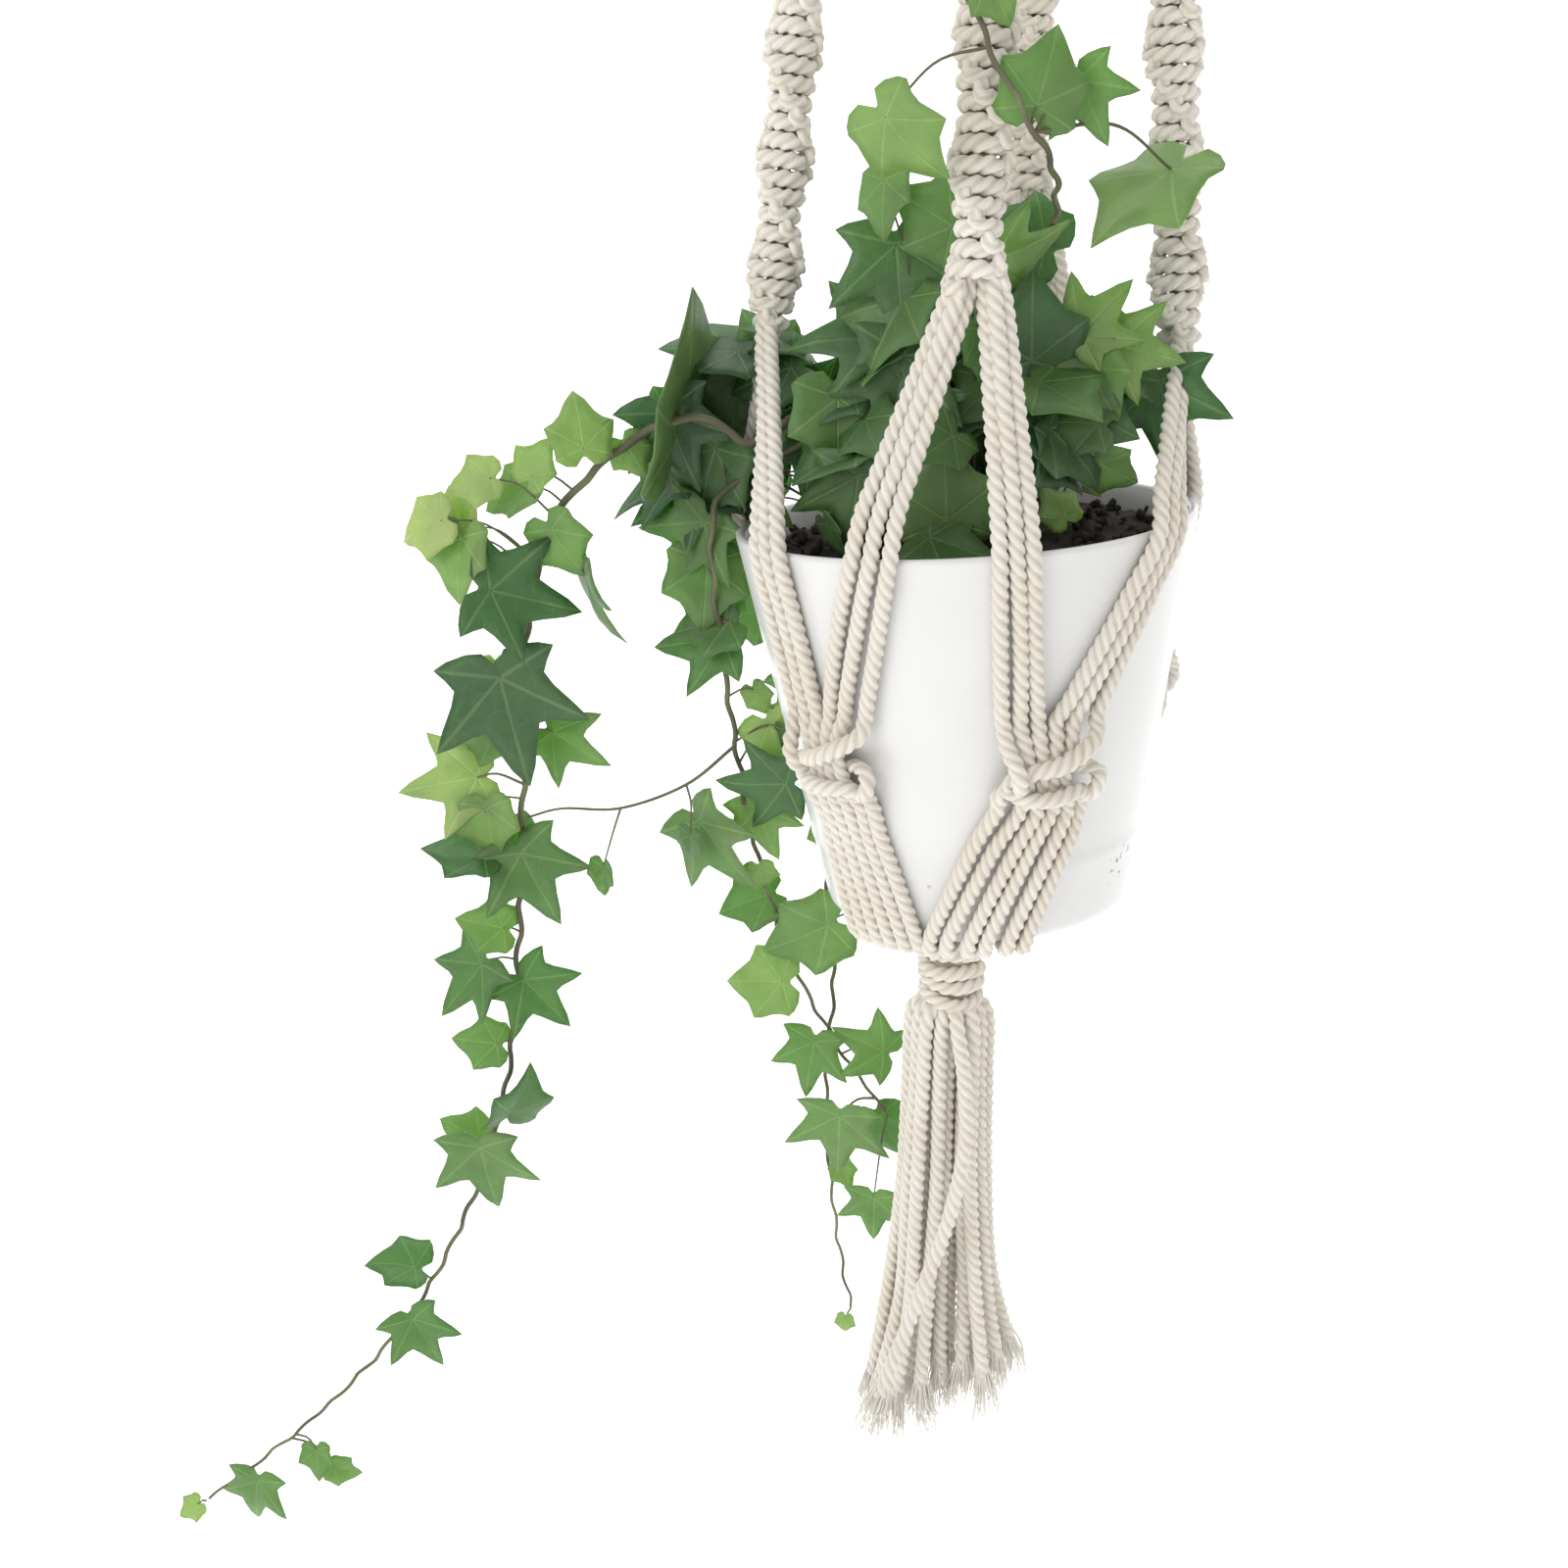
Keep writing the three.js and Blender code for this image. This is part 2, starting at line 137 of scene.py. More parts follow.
def smooth_route(points, step):
    """A Catmull-Rom curve through the points, cut into equal steps. A fourth number is blended as well."""
    p = np.array([list(q) for q in points], float)
    p = np.vstack([2 * p[0] - p[1], p, 2 * p[-1] - p[-2]])
    dense = []
    for a, b, c, d in zip(p, p[1:], p[2:], p[3:]):
        for t in np.arange(0, 1, 1 / 24):
            dense.append(0.5 * (2 * b + (c - a) * t + (2 * a - 5 * b + 4 * c - d) * t**2
                                + (3 * b - 3 * c + d - a) * t**3))
    dense.append(p[-2])
    dense = np.array(dense)
    along = travelled(dense)
    stops = np.linspace(0, along[-1], max(3, int(round(along[-1] / step)) + 1))
    return np.column_stack([np.interp(stops, along, dense[:, axis]) for axis in range(p.shape[1])])


def travelled(points):
    """How far along a route each of its points is."""
    return np.concatenate([[0], np.cumsum(np.linalg.norm(np.diff(points[:, :3], axis=0), axis=1))])


section_curve = bpy.data.curves.new("ply_section", "CURVE")
section_curve.dimensions = "2D"
section_spline = section_curve.splines.new("POLY")
section_spline.points.add(PLIES * LOBE_POINTS - 1)
for point, (x, y, _) in zip(section_spline.points, ply_section()):
    point.co = (x, y, 0, 1)
section_spline.use_cyclic_u = True
section_shape = bpy.data.objects.new("ply_section", section_curve)
print("rope section:", PLIES * LOBE_POINTS, "points")

# %% Meshes from bmeshes and curves
def mesh_from(work, name, scale=MM):
    """Empties a bmesh into a new mesh, from millimetres to metres if nothing else is asked for."""
    bmesh.ops.scale(work, vec=(scale, scale, scale), verts=work.verts)
    mesh = bpy.data.meshes.new(name)
    work.to_mesh(mesh)
    work.free()
    return mesh


def finished(name, mesh, material):
    """A smooth object with one material."""
    mesh.name = name
    mesh.materials.clear()
    mesh.materials.append(material)
    mesh.polygons.foreach_set("use_smooth", [True] * len(mesh.polygons))
    piece = bpy.data.objects.new(name, mesh)
    bpy.context.scene.collection.objects.link(piece)
    return piece


def new_curve(name):
    curve = bpy.data.curves.new(name, "CURVE")
    curve.dimensions = "3D"
    return curve


def add_spline(curve, line, radii):
    spline = curve.splines.new("POLY")
    spline.points.add(len(line) - 1)
    spline.points.foreach_set("co", np.column_stack([line[:, :3] * MM, np.ones(len(line))]).ravel())
    spline.points.foreach_set("radius", radii)
    return spline


def swept(curve):
    """The mesh that a curve sweeps. The curve is removed."""
    draft = bpy.data.objects.new(curve.name + "_draft", curve)
    bpy.context.scene.collection.objects.link(draft)
    depsgraph = bpy.context.evaluated_depsgraph_get()
    mesh = bpy.data.meshes.new_from_object(draft.evaluated_get(depsgraph))
    bpy.data.objects.remove(draft)
    bpy.data.curves.remove(curve)
    return mesh


# %% Sweep the rope
ROPE_STEP = 1.15  # millimetres between rings
FIBRE_TURN = 0.45  # how much of the plies' turn the fibres follow


def close_ends(mesh):
    work = bmesh.new()
    work.from_mesh(mesh)
    open_edges = [edge for edge in work.edges if edge.is_boundary]
    bmesh.ops.holes_fill(work, edges=open_edges, sides=0)
    bmesh.ops.recalc_face_normals(work, faces=work.faces)
    work.to_mesh(mesh)
    work.free()


def rope(name, routes, diameter, material, step=ROPE_STEP, lay=LAY):
    """One mesh of twisted rope along each route, whose points may carry a share of the width."""
    curve = new_curve(name)
    curve.twist_mode = "MINIMUM"
    curve.bevel_mode = "OBJECT"
    curve.bevel_object = section_shape
    section = ply_section()
    fibre, groove, tone = [], [], []
    for route in routes:
        line = smooth_route(route, step)
        stops = travelled(line)
        turn = -2 * math.pi * stops / (lay * diameter) + rng.uniform(0, 2 * math.pi)
        share = line[:, 3] if line.shape[1] > 3 else 1
        spline = add_spline(curve, line, np.full(len(line), diameter / 2 * MM) * share)
        spline.points.foreach_set("tilt", turn)
        strand_tone = rng.random()
        strand_start = rng.uniform(0, 500)
        for place, angle in zip(stops, turn):
            for x, y, depth in section:
                around = math.atan2(y, x) + FIBRE_TURN * angle
                fibre.append((math.cos(around), math.sin(around), strand_start + place))
                groove.append(depth)
                tone.append(strand_tone)
    mesh = swept(curve)
    assert len(mesh.vertices) == len(groove), (name, len(mesh.vertices), len(groove))
    for key, kind, field, values in (("fibre", "FLOAT_VECTOR", "vector", fibre),
                                     ("groove", "FLOAT", "value", groove), ("tone", "FLOAT", "value", tone)):
        layer = mesh.attributes.new(key, kind, "POINT")
        layer.data.foreach_set(field, np.array(values, float).ravel())
    close_ends(mesh)
    return finished(name, mesh, material)


# %% [markdown]
# Loose fibres, leaf stalks and vines are plain round tubes that taper, so one more helper sweeps those.

# %% Thin tapering tubes
def thin_tubes(name, lines, material, sides=2, spacing=2.2):
    """One mesh of round tubes. A line is a route in millimetres, a start width and an end width."""
    curve = new_curve(name)
    curve.bevel_depth = MM
    curve.bevel_resolution = sides
    curve.use_fill_caps = True
    for route, thick, thin in lines:
        line = smooth_route(route, spacing)
        add_spline(curve, line, np.linspace(thick / 2, thin / 2, len(line)))
    return finished(name, swept(curve), material)


# %% [markdown]
# Cotton rope is matt and warm white. Its colour drifts from strand to strand, the grooves between plies are
# darkened by their depth as painted shade, and fine fibres run along the plies. The fibres are a noise that
# is stretched along the rope, read from the attribute so that it follows every bend. A little sheen stands
# for the loose fuzz on the surface.

# %% Shaders and cotton
class Shader:
    """One material, with short ways to add the nodes that these materials share."""

    def __init__(self, name):
        self.material = bpy.data.materials.new(name)
        self.material.use_nodes = True
        self.nodes = self.material.node_tree.nodes

    def put(self, sockets, values):
        """Links each named socket to an output, or gives it a plain value."""
        for key, value in values.items():
            if isinstance(value, bpy.types.NodeSocket):
                self.material.node_tree.links.new(value, sockets[key])
            else:
                sockets[key].default_value = value

    def add(self, kind, inputs, output=0, **settings):
        node = self.nodes.new("ShaderNode" + kind)
        for key, value in settings.items():
            setattr(node, key, value)
        self.put(node.inputs, inputs)
        return node.outputs[output]

    def place(self):
        return self.add("TexCoord", {}, "Object")

    def attribute(self, name, output="Fac"):
        return self.add("Attribute", {}, output, attribute_name=name)

    def noise(self, where, scale, detail=2, roughness=0.5):
        inputs = {"Vector": where, "Scale": scale, "Detail": detail, "Roughness": roughness}
        return self.add("TexNoise", inputs, "Fac")

    def bump(self, height, strength, distance, invert=False):
        inputs = {"Height": height, "Strength": strength, "Distance": distance}
        return self.add("Bump", inputs, invert=invert)

    def blend(self, kind, factor, low, high):
        return self.add("Mix", {0: factor, 6: low, 7: high}, 2, data_type="RGBA", blend_type=kind)

    def maths(self, operation, first, second=0.0):
        return self.add("Math", {0: first, 1: second}, operation=operation)

    def ramp(self, value, stops):
        """A number turned into a colour by stops: a place and its colour."""
        node = self.nodes.new("ShaderNodeValToRGB")
        elements = node.color_ramp.elements
        while len(elements) < len(stops):
            elements.new(0.5)
        for element, (place, colour) in zip(elements, stops):
            element.position = place
            element.color = (*colour, 1)
        self.put(node.inputs, {0: value})
        return node.outputs[0]

    def done(self, inputs):
        self.put(self.nodes["Principled BSDF"].inputs, inputs)
        return self.material


WHITE = (1, 1, 1)
BLACK = (0, 0, 0)


def cotton_material(name, light, shade):
    shader = Shader(name)
    along = {0: shader.attribute("fibre", "Vector"), 1: (2.3, 2.3, 0.16)}
    hair = shader.noise(shader.add("VectorMath", along, operation="MULTIPLY"), 2.4, 6, 0.7)
    strand = shader.ramp(shader.attribute("tone"), [(0, shade), (0.25, light), (1, light)])
    patch = shader.ramp(shader.noise(shader.place(), 38, 3), [(0.3, (0.93, 0.90, 0.84)), (0.7, WHITE)])
    # The grooves between plies are darkened by their depth here: painted shade.
    painted_groove_shade = shader.ramp(shader.attribute("groove"),
                         [(0.35, WHITE), (0.66, (0.96, 0.945, 0.92)), (0.88, (0.86, 0.83, 0.78))])
    streak = shader.ramp(hair, [(0.36, (0.80, 0.77, 0.71)), (0.56, WHITE)])
    body = shader.blend("MULTIPLY", 1.0, strand, patch)
    body = shader.blend("MULTIPLY", 1.0, body, painted_groove_shade)
    return shader.done({
        "Base Color": shader.blend("MULTIPLY", 0.55, body, streak), "Normal": shader.bump(hair, 0.55, 0.0006),
        "Roughness": 0.92, "Specular IOR Level": 0.2, "Sheen Weight": 0.25, "Sheen Roughness": 0.6,
        "Subsurface Weight": 0.12, "Subsurface Radius": (0.004, 0.003, 0.002), "Subsurface Scale": 0.5,
    })


cotton = cotton_material("cotton_rope", (0.90, 0.87, 0.81), (0.85, 0.81, 0.74))

# %% [markdown]
# ## The tassel
# Below the wrapped knot the twenty-four strands hang free. They are the object's only free cords, so they
# come first. At the top they are packed side by side on a triangular grid, and lower down they spread. One
# strand has fallen across the front of the others. Each strand wanders a little, as cut rope does.

# %% Tassel strands
GATHER_X = -0.5
TASSEL_TOP = -43.5
TASSEL_MIDDLE = -183.0
TASSEL_CUT_SLOPE = 0.36
TASSEL_PITCH = 4.95
TASSEL_SPLAY = 1.85
TASSEL_FLARE = 2.2
TASSEL_STRANDS = 24
CROSSING_STRAND = 13
CROSSING_ROUTE = [
    (0, 2.5, -12.9), (0.12, 5, -17.2), (0.25, 5.8, -19.2), (0.42, 2.4, -20.8), (0.58, -3.6, -22.8),
    (0.75, -10.5, -25.4), (0.9, -18, -29),
]
STRAND_DIAMETER = 5.0
FRAY_BEGINS = 0.93  # share of the way down where the twist is lost


def packed_places(count, pitch):
    places = []
    for row in range(-5, 6):
        for column in range(-5, 6):
            x = (column + 0.5 + (0.5 if row % 2 else 0)) * pitch
            places.append((x, row * pitch * math.sin(math.pi / 3)))

    def from_centre(place):
        return round(math.hypot(*place), 4), math.atan2(place[1], place[0]) % (2 * math.pi)

    return sorted(places, key=from_centre)[:count]


def tassel_route(number, place):
    splayed = []
    for share in (0, 0.15, 0.4, 0.7, 1):
        spread = 1 + (TASSEL_SPLAY - 1) * share**TASSEL_FLARE
        splayed.append((share, place[0] * spread, place[1] * spread))
    hang = TASSEL_MIDDLE + TASSEL_CUT_SLOPE * place[0] * TASSEL_SPLAY - TASSEL_TOP
    route = CROSSING_ROUTE if number == CROSSING_STRAND else splayed
    points = []
    for share, x, y in route:
        share = min(share, FRAY_BEGINS)
        sway = 1.5 * share
        points.append(above_base(
            GATHER_X + x * (0.94 if share == 0 else 1) + rng.uniform(-sway, sway),
            y + rng.uniform(-sway, sway),
            TASSEL_TOP + hang * share,
        ))
    tucked = points[0].copy()
    tucked.x = GATHER_X + (tucked.x - GATHER_X) * 0.5
    tucked.y *= 0.5
    tucked.z += 5
    return [tucked, *points]


tassel_places = packed_places(TASSEL_STRANDS, TASSEL_PITCH)
tassel_ends = []
for number, place in enumerate(tassel_places):
    route = tassel_route(number, place)
    name = f"tassel_rope_{number + 1:02d}"
    strand = rope(name, [route], STRAND_DIAMETER, cotton)
    path = smooth_route(route, 4)
    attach(strand, "sling")
    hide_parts(f"tassel_strand_{number + 1:02d}")
    tassel_ends.append((route[-2], route[-1]))
print("tassel strands:", len(tassel_ends))

# %% [markdown]
# The cut ends were never bound, so the twist has come out of the last two centimetres and the cotton stands
# apart as a soft brush. Each end gets some sixty thin fibres, which start inside the rope, follow its
# direction and spread. They have four sides, because there are more than a thousand of them.

# %% Frayed ends
FIBRES_PER_END = 64
FIBRE_ROOTS = 1.9  # radius of the circle that the fibres of one end start in
FIBRE_LENGTH = (11, 20)
FIBRE_WIDTHS = (0.55, 0.28)
shader = Shader("loose_cotton")
lint = shader.ramp(shader.noise(shader.place(), 160), [(0.3, (0.78, 0.74, 0.66)), (0.7, (0.88, 0.855, 0.80))])
loose_cotton = shader.done({"Base Color": lint, "Roughness": 0.95, "Specular IOR Level": 0.15,
                            "Sheen Weight": 0.3})

brush = random.Random(5)
fibres = []
for before, end in tassel_ends:
    along = (end - before).normalized()
    side = along.cross(Vector((0, 1, 0))).normalized()
    front = side.cross(along)
    lean = side * brush.uniform(-0.16, 0.16) + front * brush.uniform(-0.12, 0.12)
    for _ in range(FIBRES_PER_END):
        angle = brush.uniform(0, 2 * math.pi)
        out = side * math.cos(angle) + front * math.sin(angle)
        rooted = FIBRE_ROOTS * math.sqrt(brush.random())
        reach = brush.uniform(*FIBRE_LENGTH)
        spread = brush.uniform(0.02, 0.2)
        curl = side * brush.uniform(-0.7, 0.7) + front * brush.uniform(-0.7, 0.7)
        start = end - along * brush.uniform(3, 6) + out * rooted
        middle = start + along * reach * 0.55 + out * (0.4 + spread * reach * 0.5) + curl + lean * reach * 0.3
        tip = start + along * reach + out * (0.4 + spread * reach) - curl + lean * reach
        fibres.append(([start, middle, tip], *FIBRE_WIDTHS))
frayed = thin_tubes("frayed_ends", fibres, loose_cotton, sides=0, spacing=3.2)
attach(frayed, "sling")
print("fibres:", len(fibres), "faces:", len(frayed.data.polygons))

# %% [markdown]
# ## Ring, folds and top wrap
# A turned wooden ring hangs on the hook. It is a circle swept round the ring's middle, which is one spin of
# a bmesh circle. The wood was cut from a board before turning, so its grain runs straight through the ring
# and a noise stretched along one axis of the object is the right pattern.

# %% Wooden ring
RING_RADIUS = 30.0
RING_THICKNESS = 10.0
ring_centre = Vector((0, 0, RING_THICKNESS / 2 - RING_RADIUS))


def finish_piece(work, name, material, body, hides=()):
    """Turns a bmesh in millimetres into a smooth piece that rides on a body."""
    bmesh.ops.remove_doubles(work, verts=work.verts, dist=1e-4)
    bmesh.ops.recalc_face_normals(work, faces=work.faces)
    return give(finished(name, mesh_from(work, name), material), body, hides)


def give(piece, body, hides=()):
    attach(piece, body)
    if hides:
        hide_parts(*hides)
    print(piece.name, len(piece.data.polygons), "faces on", body)
    return piece


shader = Shader("turned_beech")
board = shader.add("Mapping", {"Vector": shader.place(), "Scale": (18, 420, 330)})
grain = shader.add("TexNoise", {"Vector": board, "Scale": 1.0, "Detail": 5, "Distortion": 0.6}, "Fac")
tint = shader.ramp(grain, [(0.3, (0.36, 0.20, 0.09)), (0.5, (0.56, 0.35, 0.18)), (0.72, (0.66, 0.45, 0.25))])
wood = shader.done({"Base Color": tint, "Normal": shader.bump(grain, 0.25, 0.0003), "Roughness": 0.45,
                    "Coat Weight": 0.15, "Coat Roughness": 0.35})

work = bmesh.new()
bmesh.ops.create_circle(work, segments=28, radius=RING_THICKNESS / 2)
bmesh.ops.translate(work, vec=(RING_RADIUS, 0, 0), verts=work.verts)
bmesh.ops.spin(work, geom=work.verts[:] + work.edges[:], cent=(0, 0, 0), axis=(0, 1, 0), angle=2 * math.pi,
               steps=96, use_merge=True)
bmesh.ops.translate(work, vec=ring_centre, verts=work.verts)
finish_piece(work, "wooden_ring", wood, "ring", ["hanging_ring"])

# %% [markdown]
# Twelve long cords are folded over the bottom of the ring in two layers, so twenty-four legs hang from it.
# They are drawn together, and a wrapping knot holds them: a spare cord wound tightly round them all.
# The folds are semicircles round the wood. Both layers share the ring's curve, so the outer one is wider.

# %% Folds over the ring
CORD = 4.6  # diameter of a cord that carries load
FOLDS_IN_LAYER = 6
TOP_WRAP_Z = (-104.0, -75.0)
WRAP_RADIUS = 9.4


def fold_route(layer, number):
    reach = RING_THICKNESS / 2 + (0.52 + 0.93 * layer) * CORD
    pitch = math.radians(11.5 + 3.2 * layer)
    angle = (number - (FOLDS_IN_LAYER - 1) / 2) * pitch
    outward = Vector((math.sin(angle), 0, -math.cos(angle)))
    bar = ring_centre + outward * RING_RADIUS
    over = []
    for degrees in range(-100, 101, 20):
        turn = math.radians(degrees)
        over.append(bar - outward * reach * math.cos(turn) + Vector((0, reach * math.sin(turn), 0)))
    legs = []
    for way in (-1, 1):
        x = (number - (FOLDS_IN_LAYER - 1) / 2) * 2.4
        y = way * (1.8 + 3.0 * layer)
        legs.append([Vector((x * 1.15, y * 1.15, TOP_WRAP_Z[1] + 4)), Vector((x, y, TOP_WRAP_Z[1] - 6))])
    return [legs[0][1], legs[0][0], *over, legs[1][0], legs[1][1]]


folds = [fold_route(layer, number) for layer in (0, 1) for number in range(FOLDS_IN_LAYER)]
give(rope("cord_folds", folds, CORD, cotton), "sling", ["ring_loops"])


# %% Wrapping knots
POINTS_IN_TURN = 16


def wrap_route(centre, z_range, radius, turns, uneven):
    route = []
    bottom, top = z_range
    steps = int(turns * POINTS_IN_TURN)
    for step in range(steps + 1):
        share = step / steps
        angle = 2 * math.pi * turns * share
        wobble = uneven * math.sin(1.7 * angle + 4 * share) + uneven * 0.7 * math.sin(0.61 * angle)
        r = radius + 0.3 * uneven * math.cos(2.3 * angle)
        height = mix(top, bottom, share) + wobble
        route.append(centre + Vector((r * math.cos(angle), r * math.sin(angle), height)))
    middle = centre + Vector((0, 0, mix(bottom, top, 0.5)))
    lift = Vector((0, 0, 2))
    first_tail = route[0].lerp(middle, 0.45) + lift
    last_tail = route[-1].lerp(middle, 0.45) - lift
    return [first_tail, *route, last_tail]


top_turns = wrap_route(Vector((0, 0, 0)), (TOP_WRAP_Z[0] + 2.4, TOP_WRAP_Z[1] - 2.4), WRAP_RADIUS, 6, 0.2)
give(rope("top_wrapping", [top_turns], CORD * 1.06, cotton), "sling", ["top_wrap"])

# %% [markdown]
# ## The four arms
# Six cords leave the wrap for each arm and run side by side, slightly twisted. Then the two outer cords are
# tied round the other four in half knots, always the same way. A row of half knots turns by itself and makes
# the spiral that this sling is known for: thirty degrees at each knot. The four inner cords hardly show, so
# one thicker rope stands for them.
# A knot-by-knot model would need a simulation, but every knot is the same, so one is listed and
# repeated. A tying cord crosses the flat face as a level bar, tucks inside its partner, comes out at the
# edge, hangs over the next crossing as a small upright loop, and goes behind. The partner does the same half
# a turn away, so the points of one crossing, turned and lowered knot by knot, make both cords.

# %% Arms
ARMS = {
    "left": {"foot": above_base(-56.6, 0, 165), "side": Vector((0, 1, 0))},
    "front": {"foot": above_base(-1.2, -55, 176), "side": Vector((1, 0, 0))},
    "right": {"foot": above_base(54.5, 0, 162), "side": Vector((0, 1, 0))},
    "back": {"foot": above_base(14.7, 55, 198), "side": Vector((1, 0, 0))},
}
ARM_SPREAD = 9.0
FILLERS_WIDTH = 5.4  # of the rope that stands for the four inner cords
KNOTTED_LENGTH = 290.0
KNOT_PITCH = 4.7
KNOT_TURN = math.radians(30)
# One crossing: along the face, out of it, how far down in knots, and the cord's width.
CROSSING = [
    (0, -3.7, 0, 1.02), (2.4, -3.5, 0.02, 1), (4.2, -2.1, 0.07, 0.9), (4.1, 0, 0.14, 0.78),
    (4.9, 1.6, 0.26, 0.78), (6.1, 1.1, 0.47, 0.84), (6.4, 0, 0.72, 0.86), (6.0, 0.5, 0.92, 0.88),
    (4.5, 2.5, 1.0, 0.94), (2.4, 3.5, 1.0, 1),
]


def arm_axis(side):
    foot = ARMS[side]["foot"]
    neck = Vector((foot.x, foot.y, 0)).normalized() * ARM_SPREAD
    neck.z = TOP_WRAP_Z[0]
    return foot, neck, (neck - foot).normalized()


def tying_route(side, cord):
    """One of the two tying cords of an arm, from its first knot down to its last."""
    foot, _, upward = arm_axis(side)
    across = ARMS[side]["side"]
    outward = upward.cross(across)
    knots = round(KNOTTED_LENGTH / KNOT_PITCH)
    pitch = KNOTTED_LENGTH / knots
    route = []
    for knot in range(knots):
        face = math.pi * (knot + cord)
        for x, y, down, width in CROSSING:
            depth = knot + down
            turn = face + KNOT_TURN * (depth - knots)
            uneven = 1 + 0.05 * math.sin(2.3 * knot + 1.7 * cord)
            u = (x * math.cos(turn) - y * math.sin(turn)) * uneven
            v = (x * math.sin(turn) + y * math.cos(turn)) * uneven
            place = foot + upward * (KNOTTED_LENGTH - pitch * depth) + across * u + outward * v
            route.append((*place, width))
    return route


def bare_routes(side):
    foot, neck, upward = arm_axis(side)
    across = ARMS[side]["side"]
    outward = upward.cross(across)
    shoulder = foot + upward * (KNOTTED_LENGTH - 4)
    routes = []
    for number in range(6):
        route = []
        for share in (-0.03, 0.03, 0.1, 0.22, 0.38, 0.55, 0.72, 0.88, 0.97, 1.02):
            angle = math.pi / 3 * number + 2.1 * share + 0.25 * math.sin(7 * share + number)
            radius = mix(2.6, 4.5, min(1, max(0, share) / 0.1)) - 1.3 * max(0, share - 0.9) * 10
            radius += 0.35 * math.sin(5 * share + 2.2 * number)
            aside = across * math.cos(angle) + outward * math.sin(angle)
            route.append(neck.lerp(shoulder, share) + aside * radius)
        routes.append(route)
    return routes


for side in ARMS:
    foot, neck, upward = arm_axis(side)
    tied = rope(f"{side}_spiral", [tying_route(side, 0), tying_route(side, 1)], CORD * 1.06, cotton, step=1.2)
    give(tied, "sling", [f"arm_{side}_knotting"])
    core = [foot + upward * (3 + (KNOTTED_LENGTH - 6) * share) for share in (0, 0.25, 0.5, 0.75, 1)]
    give(rope(f"{side}_core", [core], FILLERS_WIDTH, cotton, step=3), "sling")
    bare = rope(f"{side}_bare_cords", bare_routes(side), CORD, cotton)
    give(bare, "sling", [f"arm_{side}_bare_cords"])

# %% [markdown]
# ## The net round the pot
# At the foot of each arm the six cords part, three to each side. Each three meet a neighbour's three on the
# pot's wall, and the six are tied in a square knot. So the net is best built by knot: six cords come down
# from two arms, pass through the knot, and run on under the base to the gather.
# A place on the wall is an azimuth, a height and a distance from the glaze, so cords lie on the pot as if
# they were pulled against it.

# %% Where the cords run
NET = {
    "front_left": {
        "hides": ["band_left_to_front", "band_front_to_left"],
        "azimuth": -131, "height": 56, "below": -125, "core": -145,
        "from": [("left", -1, -140, 5.0), ("front", -1, -110.9, 5.1)],
        "fan": [-9.2, -5.6, -1.9, 1.9, 5.6, 9.2], "fan_low": [-11, -6.6, -2.2, 2.2, 6.6, 11],
    },
    "front_right": {
        "hides": ["band_front_to_right", "band_right_to_front"],
        "azimuth": -71, "height": 54, "below": -91.5, "core": -55,
        "from": [("front", 1, -79, 4.1), ("right", -1, -39, 4.6)],
        "fan": [-12.4, -7.8, -2.2, 2.2, 7.8, 12.4], "fan_low": [-13, -8.2, -2.3, 2.3, 8.2, 13],
    },
    "back_right": {
        "hides": ["band_right_to_back", "band_back_to_right"],
        "azimuth": 28, "height": 56, "below": 36, "core": 35,
        "from": [("right", 1, 14, 4.7), ("back", 1, 57, 4.7)],
        "fan": [-11.2, -7, -2.2, 2, 6.8, 11], "fan_low": [-11.5, -7.1, -2.4, 2, 6.8, 11.3],
    },
    "back_left": {
        "hides": ["band_back_to_left", "band_left_to_back"],
        "azimuth": 122, "height": 57, "below": 128, "core": 125,
        "from": [("back", -1, 96, 4.7), ("left", 1, 164, 4.7)],
        "fan": [-10, -6, -2, 2, 6, 10], "fan_low": [-11.2, -6.8, -2.3, 2.1, 6.7, 11.2],
    },
}
ON_GLAZE = CORD / 2 + 0.1

